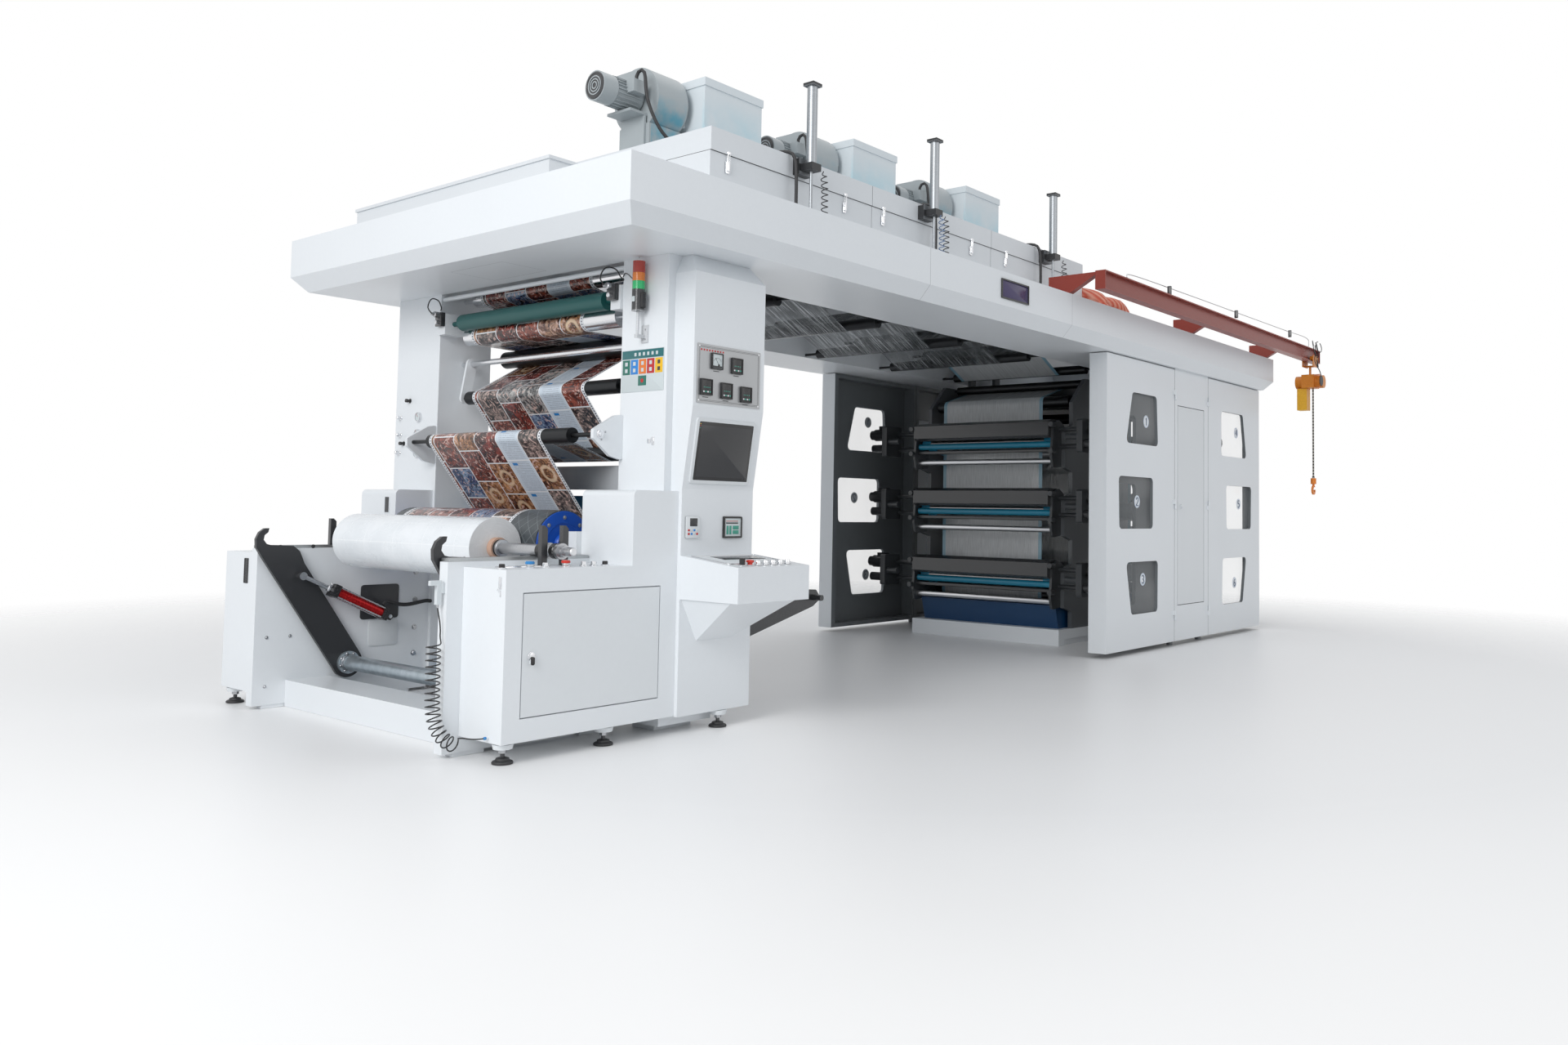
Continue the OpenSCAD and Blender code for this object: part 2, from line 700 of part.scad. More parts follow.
module stack_light() {
  x = tower_front - 48;
  y = -1122;
  color(dark) rod_z(x, y, 36, 2335, 2458);
  color("green") rod_z(x, y, 35, 2458 + eps, 2505);
  color("orange") rod_z(x, y, 35, 2505 + eps, 2552);
  color("red") rod_z(x, y, 35, 2552 + eps, 2618);
  color(steel) {
    rod_z(x, y, 9, 2205, 2335 - eps);
    block([x - 12, y - 14, 2185], [tower_front - eps, y + 14, 2205]);
    block([tower_front - 6, y - 40, 2160], [tower_front - eps, y + 14, 2260]);
  }
}

// Winder

bore_gap = 0.1;
module winder_frame() {
  color(white) both_sides() difference() {
    block([plate_front, plate_in, plate_low], [tower_front - eps, plate_in + plate_t, plate_top]);
    rod_y(piv_x, piv_z, journal_r + bore_gap, plate_in - 1, plate_in + 40);
  }
  color(steel) both_sides() rod_y(piv_x + tail[0], piv_z + tail[1], 12, lift_y - 20, plate_in);
  color(white) {
    block([beam_front, -plate_in, 0], [beam_front + beam_deep, plate_in, beam_h]);
    both_sides() {
      block([plate_front + 60, plate_in + 5, 0], [plate_front + 240, plate_in + plate_t - 5, plate_low]);
      block([tower_front - 300, plate_in + 5, 0], [tower_front - 120, plate_in + plate_t - 5, plate_low]);
    }
  }
}

module roll_rails() {
  color([0.6, 0.62, 0.63]) both_sides() {
    block([plate_front + 8, plate_in, plate_top + eps], [tall_front - 10, plate_in + plate_t, rail_top]);
  }
}

module roll_stops() {
  top = rail_top + 145;
  color(dark) for (x = [roll_x - 66 - 18, roll_x + 66 - 18]) {
    across([[x, rail_top + eps], [x + 36, rail_top + eps], [x + 36, top], [x + 18, top + 18],
      [x, top + 18]],
      plate_in + 16, plate_in + 46);
    across([[x, cab_top + eps], [x + 36, cab_top + eps], [x + 36, top], [x + 18, top + 18], [x, top + 18]],
      -1165, -1135);
  }
}

function tall_outline() = concat([[tower_front - eps, cab_low], [tower_front - eps, tall_top]],
  [for (a = [90:18:180]) [tall_front + tall_r + tall_r * cos(a), tall_top - tall_r + tall_r * sin(a)]],
  [[tall_front, cab_low]]);

module cabinet_near() {
  inner = plate_in + plate_t + eps;
  back = cab_side - cab_t;
  color(white) mirror([0, 1, 0]) {
    difference() {
      union() {
        block([cab_front, inner, cab_low], [tower_front - eps, cab_side, cab_top]);
        across(tall_outline(), inner, cab_side);
        block([tower_front - 1, tower_near_side + eps, cab_low], [console_front - eps, cab_side, tall_top]);
        difference() {
          across(tall_outline(), tall_in, inner + 1);
          block([tall_front - 1, tall_in - 1, cab_low - 1], [tower_front, inner, plate_top + eps]);
        }
      }
      block([cab_front + cab_t, inner + cab_t, cab_low + cab_t],
        [tower_front - cab_t, back, cab_top - cab_t]);
      block([cdoor_front - leaf_gap, back - 1, cdoor_low - leaf_gap],
        [cdoor_rear + leaf_gap, cab_side + 1, cdoor_low + cdoor_h + leaf_gap]);
    }
    // Strip behind the edge of the door, which the leaf closes on
    difference() {
      block([cdoor_front - 24, back - 10, cdoor_low - 24], [cdoor_rear + 24, back,
        cdoor_low + cdoor_h + 24]);
      block([cdoor_front + 12, back - 11, cdoor_low + 12], [cdoor_rear - 12, back + 1,
        cdoor_low + cdoor_h - 12]);
    }
    rod_x(1283, 124, 8, cab_front - 14, cab_front + 1);
  }
}

module cabinet_far() {
  inner = plate_in + plate_t + eps;
  color(white) {
    block([cab_front - 82, inner, cab_low], [tower_front - eps, cab_side, cab_top]);
    across(tall_outline(), inner, cab_side);
    difference() {
      across(tall_outline(), tall_in, inner + 1);
      block([tall_front - 1, tall_in - 1, cab_low - 1], [tower_front, inner, plate_top + eps]);
    }
  }
}

cdoor_rear = cdoor_front + cdoor_len;
module cabinet_door() {
  color(white) mirror([0, 1, 0]) {
    block([cdoor_front, cab_side - cab_t + eps, cdoor_low], [cdoor_rear, cab_side, cdoor_low + cdoor_h]);
    rod_y(cdoor_front + 48, 507, 15, cab_side, cab_side + 12);
    block([cdoor_front + 43, cab_side, 470], [cdoor_front + 53, cab_side + 16, 500]);
  }
}

module levelling_foot(x, y, top) {
  rod_z(x, y, 48, 0, 10);
  rod_z(x, y, 30, 10, 22);
  rod_z(x, y, 11, 22, top - eps);
}

module levelling_feet() {
  color(dark) {
    for (x = [cab_front + 57, cab_front + 668]) levelling_foot(x, 66 - cab_side, cab_low);
    levelling_foot(console_back - 220, 30 - pedestal_side, 96);
    for (x = [cab_front - 25, cab_front + 668]) levelling_foot(x, cab_side - 66, cab_low);
  }
}

// Lift arms: two hooked plates on one tube

arm_out = plate_in - arm_gap;
arm_in = arm_out - arm_t;
arm_pin = [-330, 550];
tail = [240, 275];
function arm_outline() = [[-65, -70], [-552, 663], [-590, 725], [-593, 775], [-575, 815], [-545, 838],
  [-519, 839], [-524, 815], [-545, 797], [-549, 770], [-530, 745], [-507, 739], [-369, 732], [-330, 700],
  [-298, 624], [75, 58]];

module lift_arms() {
  color([0.16, 0.16, 0.17]) both_sides() translate([piv_x, 0, piv_z]) {
    across(arm_outline(), arm_in, arm_out);
    rod_y(0, 0, 94, arm_in, arm_out);
  }
  color([0.55, 0.60, 0.62]) {
    rod_y(piv_x, piv_z, torque_r, -arm_in, arm_in);
    both_sides() {
      rod_y(piv_x, piv_z, 70, arm_in - 18, arm_in);
      rod_y(piv_x, piv_z, journal_r, arm_out, plate_in + 38);
      rod_y(piv_x + arm_pin[0], piv_z + arm_pin[1], 14, arm_out, arm_out + 8);
    }
  }
}

// Air cylinder beside the far arm, drawn along its own axis from the tail pin
lift_y = arm_in - 46;
lift_len = norm(arm_pin - tail);
lift_angle = atan2(arm_pin[1] - tail[1], arm_pin[0] - tail[0]);
module on_lift() {
  translate([piv_x + tail[0], lift_y, piv_z + tail[1]]) rotate([0, -lift_angle, 0]) children();
}

barrel_len = 430;
module lift_barrel() {
  color([0.65, 0.06, 0.06]) both_sides() on_lift() difference() {
    union() {
      translate([24, 0, 0]) rotate([0, 90, 0]) cylinder(r = 31, h = barrel_len - 24);
      for (x = [24, barrel_len - 40]) translate([x, -38, -38]) cube([40, 76, 76]);
      for (y = [-30, 30], z = [-30, 30]) translate([30, y, z]) rotate([0, 90, 0]) cylinder(r = 5,
        h = barrel_len - 40);
      translate([-16, -14, -22]) cube([40, 28, 44]);
      rotate([90, 0, 0]) translate([0, 0, -14]) cylinder(r = 22, h = 28);
    }
    translate([60, 0, 0]) rotate([0, 90, 0]) cylinder(r = 13.1, h = barrel_len);
    rotate([90, 0, 0]) translate([0, 0, -15]) cylinder(r = 12.08, h = 30);
  }
}

module lift_rod() {
  color(steel) both_sides() on_lift() {
    translate([90, 0, 0]) rotate([0, 90, 0]) cylinder(r = 13, h = lift_len - 90 - 12);
    rotate([90, 0, 0]) translate([lift_len, 0, -14]) cylinder(r = 24, h = 28);
    translate([barrel_len + 12, -12, -12]) cube([lift_len - barrel_len - 24, 24, 24]);
    rotate([90, 0, 0]) translate([lift_len, 0, eps - 46]) cylinder(r = 12, h = 40);
  }
}

// Rolls

module film_roll() {
  color([0.93, 0.94, 0.95]) difference() {
    rod_y(roll_x, roll_z, roll_r, roll_off - roll_w / 2, roll_off + roll_w / 2);
    rod_y(roll_x, roll_z, 46, roll_off - roll_w / 2 - 1, roll_off + roll_w / 2 + 1);
  }
}

module roll_shaft() {
  near_end = -1315;
  color(steel) {
    rod_y(roll_x, roll_z, 45.7, roll_off - roll_w / 2 - 40, roll_off + roll_w / 2 + 20);
    rod_y(roll_x, roll_z, shaft_r, near_end + 60, 1030);
    rod_y(roll_x, roll_z, 22, near_end, near_end + 60);
    for (y = [-1110, -1215, 830, 915]) rod_y(roll_x, roll_z, 42, y - 12, y + 12);
  }
}

module winding_drum() {
  color([0.25, 0.27, 0.28]) {
    rod_y(drum_x, drum_z, drum_r, -drum_half, drum_half);
    both_sides() rod_y(drum_x, drum_z, 30, drum_half, tall_in - 3);
  }
}

r1 = [tower_front - 166, 1640, 45];
nip = [tower_front + 50, 2446, 55];
nip_back = [tower_front + 133, 2361, 62];
dancer = [tower_front + 140, 1950, 45];
bar = [tower_front + 185, 2190, 19];
back_top = [tower_front + 423, 2237, 58];
back_low = [tower_front + 330, 1560, 45];
drum_feed = [tower_front + 145, 1085, 45];
top_front = [tower_front + 187, 2625, 55];
top_idle = [tower_front + 310, 2500, 35];
roller_half = 778;
turn_r = 60;
turn_x = web_x - turn_r - film_r;
turn_low = 440;

module roller(c, half) {
  rod_y(c[0], c[1], c[2], -half, half);
}

module journals(c, half, r, end) {
  both_sides() rod_y(c[0], c[1], r, half, end);
}

module front_roller() {
  color(dark) roller(r1, 723);
  color(steel) journals(r1, 723, 13, 958);
}

module nip_roller() {
  color([0.02, 0.32, 0.30]) roller(nip, 743);
  color(steel) journals(nip, 743, 16, 905);
}

// Teardrop plates, drum bearings, nip blocks and dancer arms
module roller_brackets() {
  tear = rounded([[tower_front - eps, 1500], [tower_front - eps, 1762], [tower_front - 60, 1752],
    [r1[0] - r1[2], r1[1] + 25], [r1[0] - r1[2], r1[1] - 25], [tower_front - 90, 1520]], 14, 3);
  color(white) both_sides() difference() {
    across(tear, 940, 965);
    rod_y(r1[0], r1[1], 13 + bore_gap, 930, 959);
  }
  color(dark) both_sides() difference() {
    block([drum_x - 60, tall_in - 70, drum_z - 75], [drum_x + 60, tall_in - eps, drum_z + 75]);
    rod_y(drum_x, drum_z, 30 + bore_gap, tall_in - 71, tall_in - 2);
  }
  color(dark) both_sides() difference() {
    block([nip[0] - 70, 850, nip[1] - 75], [nip[0] + 80, channel_side - eps, nip[1] + 65]);
    rod_y(nip[0], nip[1], 16 + bore_gap, 849, 906);
  }
  color(dark) both_sides() {
    hull() {
      rod_y(bar[0], bar[1], 38, 830, 850);
      rod_y(dancer[0], dancer[1], 34, 830, 850);
    }
  }
}

module guide_rollers() {
  color(dark) {
    for (c = [dancer]) roller(c, roller_half);
    journals(dancer, roller_half, 14, 830 - eps);
    for (c = [back_top, back_low, drum_feed, top_idle]) {
      roller(c, roller_half);
      journals(c, roller_half, 14, channel_side - eps);
    }
    for (k = [0:4]) {
      roller([hang_x(k), hang_z, hang_r], roller_half);
      journals([hang_x(k), hang_z], roller_half, 12, channel_side - eps);
    }
    for (k = [0:3]) {
      roller([hang_x(k) + hang_pitch / 2, lift_z, hang_r], roller_half);
      journals([hang_x(k) + hang_pitch / 2, lift_z], roller_half, 12, channel_side - eps);
    }
    for (s = [-1, 1]) {
      for (c = [[s * 605, 2535, 42], [s * turn_x, 2330, turn_r], [s * turn_x, turn_low, turn_r]]) {
        roller(c, frame_in - 40);
        journals(c, frame_in - 40, 14, frame_in - eps);
      }
    }
  }
}

module chrome_rollers() {
  color([0.85, 0.86, 0.88]) {
    roller(nip_back, roller_half);
    journals(nip_back, roller_half, 16, 849.7);
    roller(top_front, roller_half);
    journals(top_front, roller_half, 16, channel_side - eps);
    roller(bar, 829.7);
    journals(bar, 850 + eps, 16, channel_side - eps);
  }
}

// Film

hang_z = 2672;
hang_r = 44;
hang_pitch = 1140;
lift_z = 2850;
function hang_x(k) = tower_back + 1094 + hang_pitch * k;

module web_tower() {
  color([0.85, 0.82, 0.80]) film([[hang_x(0), hang_z, hang_r, -1], concat(top_front, [1]),
    concat(top_idle, [-1]), concat(nip_back, [1]), concat(back_top, [-1]), concat(dancer, [1]),
    concat(back_low, [-1]), concat(r1, [1]), concat(drum_feed, [-1]), [drum_x, drum_z, drum_r, 1]],
    270 + atan((drum_z - roll_z) / (drum_x - roll_x)));
}

module web_overhead() {
  up = [for (k = [3:-1:0]) each [[hang_x(k) + hang_pitch / 2, lift_z, hang_r, 1],
    [hang_x(k), hang_z, hang_r, -1]]];
  last = heading([hang_x(0), hang_z, hang_r, -1], concat(top_front, [1]));
  color([0.90, 0.92, 0.93]) film([[-605, 2535, 42, -1], [-turn_x, 2330, turn_r, 1],
    [-turn_x, turn_low, turn_r, 1],
    [turn_x, turn_low, turn_r, 1], [turn_x, 2330, turn_r, 1], [605, 2535, 42, -1]]);
  color([0.90, 0.92, 0.93]) film(concat([[hang_x(4), hang_z, hang_r, -1]], up), last + 2);
}

// Hoods, fans and filters on the canopy

module hoods() {
  color(white) {
    for (k = [0:2]) {
      x0 = hood_front + hood_len * k;
      block([x0 + (k == 0 ? 0 : 2), -hood_side, hood_seam + 2], [x0 + hood_len - 2, hood_side, hood_top]);
      block([x0 + (k == 0 ? 0 : 2), -hood_side + 6, roof_z + eps],
        [x0 + hood_len - 2, hood_side - 6, hood_seam + 2]);
    }
    cover_x = canopy_front + 344;
    block([cover_x, -610, roof_z + eps], [hood_front - 60, 1530, 3250]);
    block([cover_x - 10, -620, 3236], [hood_front - 50, 1540, 3256]);
  }
}

module blowers() {
  z = hood_top + fan_up;
  color([0.66, 0.69, 0.70]) for (k = [0:2]) translate([hood_front + hood_len * k, 0, 0]) {
    rod_x(-fan_y, z, fan_r, 160, 410);
    rod_x(-fan_y, z, fan_r - 26, 410, 440);
    block([170, -fan_y - 10, z], [400, -fan_y + fan_r, z + fan_r]);
    block([150, -fan_y - 140, hood_top + eps], [420, -fan_y + 140, z - fan_r + 40]);
    block([20, -fan_y - 110, z - 120], [160, -fan_y + 110, z - 104]);
    along([[-fan_y - 110, hood_top + eps], [-fan_y + 110, hood_top + eps], [-fan_y + 110, z - 104],
      [-fan_y - 110, z - 104]], 134, 150);
    rod_x(-fan_y, z, 84, -60, 150);
    rod_x(-fan_y, z, 93, -170, -60);
    rod_x(-fan_y, z, 40, 150, 160);
    for (a = [0:15:345]) translate([0, -fan_y, z]) rotate([a, 0, 0]) block([-55, -2, 80], [120, 2, 96]);
    block([10, -fan_y - 150, z - 10], [110, -fan_y - 80, z + 70]);
  }
}

module filter_boxes() {
  color(white) for (k = [0:2]) translate([hood_front + hood_len * k, 0, 0]) {
    block([470, -800, hood_top + eps], [1000, -250, hood_top + 500]);
    block([462, -808, hood_top + 500], [1008, -242, hood_top + 552]);
    block([440 + eps, -fan_y - 120, hood_top + fan_up - 120], [471, -fan_y + 120, hood_top + fan_up + 120]);
  }
}

cyl_x = [for (x = [770, 2120, 3860]) hood_front + x];
module hood_cylinders() {
  y = -hood_side - 100;
  for (x = cyl_x) {
    color([0.8, 0.81, 0.82]) {
      rod_z(x, y, 33, hood_top - 55, 3875);
      rod_z(x, y, 10, roof_z + 60, hood_top - 55);
    }
    color(dark) {
      block([x - 42, y - 42, 3875], [x + 42, y + 42, 3895]);
      block([x - 44, y - 44, hood_top - 100], [x + 44, y + 44, hood_top - 55]);
      block([x - 60, y + 44, hood_top - 120], [x + 60, -hood_side - eps, hood_top - 20]);
      block([x - 30, y - 30, roof_z + eps], [x + 30, y + 30, roof_z + 60]);
    }
  }
}

// Motor leads, which lie on the hoods, and the coiled hoses of the hood cylinders
module power_cables() {
  z = hood_top;
  start = [60, -fan_y - 115, z + fan_up + 70.6];
  route = [start + [0, 0, 12], [60, -fan_y - 115, z + fan_up + 102], [62, -fan_y - 142, z + fan_up + 132],
    [68, -fan_y - 180, z + fan_up + 108], [80, -fan_y - 205, z + 300],
    [160, -fan_y - 250, z + 120], [300, -fan_y - 300, z + 26], [430, -fan_y - 350, z + 20],
    [600, -1000, z + 20], [640, -1200, z + 20], [670, -1330, z + 20], [684, -1385, z - 20],
    [688, -1400, z - 160], [688, -1400, roof_z + 1]];
  color(dark) for (k = [0:2]) translate([hood_front + hood_len * k, 0, 0])
    tube(concat([start], curve(route, 3)), 11);
}

// Corrugated ducts from the last hood down into the canopy
module air_ducts() {
  x0 = hood_front + 3 * hood_len;
  y = -hood_side;
  for (d = [[70, 160, -140], [270, 640, -110]]) {
    mid = [[x0 + 14, y + d[0], 3190], [x0 + d[1] * 0.35, y + d[0] - 20, 3200],
      [x0 + d[1] * 0.75, y + d[2] + 70, 3165],
      [x0 + d[1] * 0.95, y + d[2] + 20, 3110], [x0 + d[1], y + d[2], roof_z + 30]];
    color([0.75, 0.25, 0.12])
      tube(concat([[x0 + eps, y + d[0], 3190]], curve(mid, 3), [[x0 + d[1], y + d[2], roof_z + eps]]),
        52, 12);
  }
}

// Hoist

module hoist_beam() {
  y = -rail_y;
  half = rail_w / 2;
  top = rail_z + rail_h;
  color([0.62, 0.16, 0.07]) {
    along([[y - half, rail_z], [y + half, rail_z], [y + half, rail_z + 10], [y + 5, rail_z + 10],
      [y + 5, top - 10], [y + half, top - 10], [y + half, top], [y - half, top], [y - half, top - 10],
      [y - 5, top - 10], [y - 5, rail_z + 10], [y - half, rail_z + 10]], rail_front, rail_rear);
    block([rail_front - 10, y - half, rail_z], [rail_front, y + half, top]);
    block([rail_rear, y - half, rail_z], [rail_rear + 10, y + half, top]);
  }
  // Brackets from the canopy to the beam
  color(dark) for (x = [60, 2560, rail_len - 800]) translate([rail_front, 0, 0]) {
    along([[y + half, top - 12], [y + half, top], [-1500, top], [-1500, roof_z + eps],
      [-1660, roof_z + eps]],
      x - 30, x + 30);
  }
}

hoist_top = rail_z - 150;
module hoist() {
  y = -rail_y;
  half = rail_w / 2;
  color([0.85, 0.45, 0.05]) translate([trolley_x, 0, 0]) {
    for (s = [-1, 1]) {
      block([-90, y + s * (half + 14) - 5, rail_z - 60], [90, y + s * (half + 14) + 5, rail_z + 70]);
      for (x = [-55, 55]) translate([x, y + s * (half + 9), rail_z + 35 + eps])
        rotate([s * 90, 0, 0]) cylinder(r = 25, h = half - 11);
    }
    block([-14, y - half - 10, rail_z - 60], [14, y + half + 10, rail_z - 40]);
    block([-18, y - 8, hoist_top], [18, y + 8, rail_z - 40]);
    rod_y(0, hoist_top - 80, 72, y - 150, y + 150);
    block([-95, y - 70, hoist_top - 150], [95, y + 70, hoist_top]);
    block([-60, y + 20, hoist_top - 400], [60, y + 130, hoist_top - 152]);
  }
  color([0.45, 0.42, 0.35]) translate([trolley_x, y - 30, 0]) {
    block([-3, -9, hook_z + 196], [3, 9, hoist_top - 150]);
    block([-9, -3, hook_z + 196], [9, 3, hoist_top - 150]);
    rod_z(0, 0, 14, hook_z + 186, hook_z + 206);
  }
}

// Load hook, turning on the end of the chain
module hook() {
  y = -rail_y - 30;
  c = hook_z + 52;
  color([0.85, 0.45, 0.05]) translate([trolley_x, y, 0]) {
    rod_z(0, 0, 30, c + 68, hook_z + 186 - eps);
    rod_z(0, 0, 13, c + 40, c + 70);
    translate([0, 9, c]) rotate([90, 0, 0]) difference() {
      cylinder(r = 52, h = 18);
      translate([0, 0, -1]) cylinder(r = 26, h = 20);
      translate([0, 4, -1]) cube([60, 30, 20]);
    }
  }
}

// Unwinding arms on the back of the tower
unwind_x = tower_back + 1214;
unwind_in = 1010;
module unwind_arms() {
  color(dark) both_sides() {
    across(rounded([[tower_back + eps, 360], [tower_back + eps, 760], [unwind_x + 40, 700],
      [unwind_x + 90, 640],
      [unwind_x + 10, 590], [unwind_x - 810, 380]], 12, 2), unwind_in, unwind_in + 25);
  }
  color(dark) {
    rod_y(unwind_x, 650, 32, -unwind_in, unwind_in);
    rod_y(unwind_x - 610, 560, 40, -unwind_in, unwind_in);
    both_sides() rod_y(unwind_x, 650, 20, unwind_in + 25, unwind_in + 110);
  }
}

// Air hose: a coil that hangs on the side plate, and the blow gun on its end

hose_r = 4;
coil_r = 36;
coil_x = plate_front - 50;
coil_y = -1014;
gun_y = -1002;
hose_top = [[plate_front - 28, gun_y, 744], [plate_front - 28, gun_y, 736], [plate_front - 32, gun_y, 700],
  [plate_front - 44, -1008, 660], [coil_x, coil_y, 625], [coil_x, coil_y, 598]];
hose_coil = [[coil_x, coil_y, 602], [coil_x, coil_y, 500], [coil_x, coil_y - 2, 390],
  [coil_x, coil_y - 4, 290],
  [plate_front - 46, -1028, 205], [plate_front - 34, -1054, 140], [plate_front - 16, -1094, 98],
  [plate_front + 4, -1140, 82], [plate_front + 22, -1176, 84]];
hose_end = [[plate_front + 20, -1172, 84], [plate_front + 28, -1196, 86], [plate_front + 38, -1232, 96],
  [plate_front + 48, -1264, 112], [plate_front + 60, -1279, 121], [cab_front - 20, -1283, 124],
  [cab_front - 14.3, -1283, 124]];

module air_hose() {
  color(dark) {
    tube(hose_top, hose_r, 8);
    tube(curve(hose_coil, 2), coil_r, 10);
    tube(hose_end, hose_r, 8);
  }
}

module air_gun() {
  color([0.6, 0.62, 0.64]) {
    block([plate_front - 40, gun_y - 12, 745], [plate_front - 16, gun_y + 12, 850]);
    block([plate_front - 76, gun_y - 10, 838], [plate_front - 16, gun_y + 10, 862]);
    block([plate_front - 16, gun_y - 16, 800], [plate_front - eps, gun_y + 16, 850]);
  }
}

print_base();
drip_tray();
unit_frames();
print_cylinders();
deck_rollers();
deck_brackets();
ink_units();
ink_rollers();
wall_near();
wall_far();
door_front_near();
door_rear_near();
door_front_far();
door_rear_far();
window_front_near();
window_rear_near();
window_front_far();
window_rear_far();
access_door_near();
access_door_far();
canopy();
towers();
blue_beams();
console();
desk();
console_screen();
controls();
stack_light();
winder_frame();
roll_rails();
roll_stops();
cabinet_near();
cabinet_far();
cabinet_door();
levelling_feet();
lift_arms();
lift_barrel();
lift_rod();
film_roll();
roll_shaft();
winding_drum();
front_roller();
nip_roller();
roller_brackets();
guide_rollers();
chrome_rollers();
web_tower();
web_overhead();
hoods();
blowers();
filter_boxes();
hood_cylinders();
power_cables();
air_ducts();
hoist_beam();
hoist();
hook();
unwind_arms();
air_hose();
air_gun();
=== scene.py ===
"""Looks of the flexographic press: materials, printed film, instruments, hoses, lights and camera."""
import math

import bpy
import numpy as np
from mathutils import Matrix, Vector


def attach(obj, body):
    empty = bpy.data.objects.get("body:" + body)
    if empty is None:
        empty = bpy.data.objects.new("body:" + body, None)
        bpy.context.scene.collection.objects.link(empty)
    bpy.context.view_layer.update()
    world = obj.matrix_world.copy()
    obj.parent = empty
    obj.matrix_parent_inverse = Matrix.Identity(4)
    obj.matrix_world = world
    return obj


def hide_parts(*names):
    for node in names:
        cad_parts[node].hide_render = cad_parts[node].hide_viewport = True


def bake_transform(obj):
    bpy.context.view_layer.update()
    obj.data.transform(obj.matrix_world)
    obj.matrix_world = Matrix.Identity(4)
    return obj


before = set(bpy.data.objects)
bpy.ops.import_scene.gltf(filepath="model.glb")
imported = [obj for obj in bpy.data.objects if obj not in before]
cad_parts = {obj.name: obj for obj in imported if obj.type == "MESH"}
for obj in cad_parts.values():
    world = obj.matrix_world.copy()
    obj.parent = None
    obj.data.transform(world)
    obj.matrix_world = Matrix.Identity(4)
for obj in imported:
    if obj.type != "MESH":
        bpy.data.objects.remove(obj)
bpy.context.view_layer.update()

# Places in part.scad that the pieces are set against, in metres
HOUSE = 1.605
CANOPY = 1.733
ROOF = 2.996
UNDER = 2.650
TOWER = -6.700
CONSOLE_FRONT = -6.649
CONSOLE = 1.480
PEDESTAL = 1.410
PLATE_FRONT = -7.834
CAB_FRONT = -7.745
CAB_SIDE = 1.385
CAB_TOP = 0.926
HOOD_FRONT = -6.430
HOOD_LEN = 1.527
HOOD_SIDE = 1.350
HOOD_TOP = 3.440
PIVOT = (-7.270, 0.235)
TAIL = (-7.030, 0.510)
LIFT_Y = 0.879
DRUM = (-6.943, 1.020, 0.191)
ROLL = (-7.300, 1.001, 0.165)
ROLL_ENDS = (-0.6445, 0.8005)
DECKS = (0.410, 1.085, 1.735)
WEB = (-0.4845, 0.6805)
PANE = 1.5747
HOIST = (2.388, -1.980, 3.010)

X, Y, Z = (1, 0, 0), (0, 1, 0), (0, 0, 1)
NEAR = (X, Z)  # directions of a plate that faces the near side
FRONT = ((0, -1, 0), Z)  # directions of a plate that faces the winder end
UP = (X, Y)


def make_camera():
    """Camera solved from the photograph: place, then yaw from +Y, pitch and roll in degrees."""
    yaw, pitch, roll = (math.radians(a) for a in (51.533, 3.013, 0.9276))
    look = Vector((math.sin(yaw) * math.cos(pitch), math.cos(yaw) * math.cos(pitch), math.sin(pitch)))
    level = Vector((math.cos(yaw), -math.sin(yaw), 0))
    upright = level.cross(look)
    right = level * math.cos(roll) + upright * math.sin(roll)
    up = upright * math.cos(roll) - level * math.sin(roll)
    data = bpy.data.cameras.new("camera")
    data.lens, data.sensor_width = 26.68, 36
    data.shift_x, data.shift_y = -0.0447, -0.0465
    cam = bpy.data.objects.new("camera", data)
    cam.matrix_world = Matrix.Translation((-11.066, -6.122, 1.234)) @ Matrix((right, up, -look)).transposed().to_4x4()
    bpy.context.collection.objects.link(cam)
    bpy.context.scene.camera = cam


class Sock:
    """A shader socket that can be added, multiplied and compared like a number."""

    def __init__(self, mat, out):
        self.mat, self.out = mat, out

    def op(self, name, *args):
        """One Math node: name(self, *args)."""
        n = self.mat.tree.nodes.new("ShaderNodeMath")
        n.operation = name
        for i, v in enumerate((self, *args)):
            self.mat.put(n.inputs[i], v)
        return Sock(self.mat, n.outputs[0])

    def __add__(self, o):
        return self.op("ADD", o)

    def __sub__(self, o):
        return self.op("SUBTRACT", o)

    def __mul__(self, o):
        return self.op("MULTIPLY", o)

    def __truediv__(self, o):
        return self.op("DIVIDE", o)

    def __rsub__(self, o):
        return (self * -1) + o

    __radd__, __rmul__ = __add__, __mul__

    def step(self, at, soft=0.02):
        """0 below at, 1 above it, over a width of soft."""
        return ((self - (at - soft / 2)) / soft).op("MINIMUM", 1.0).op("MAXIMUM", 0.0)


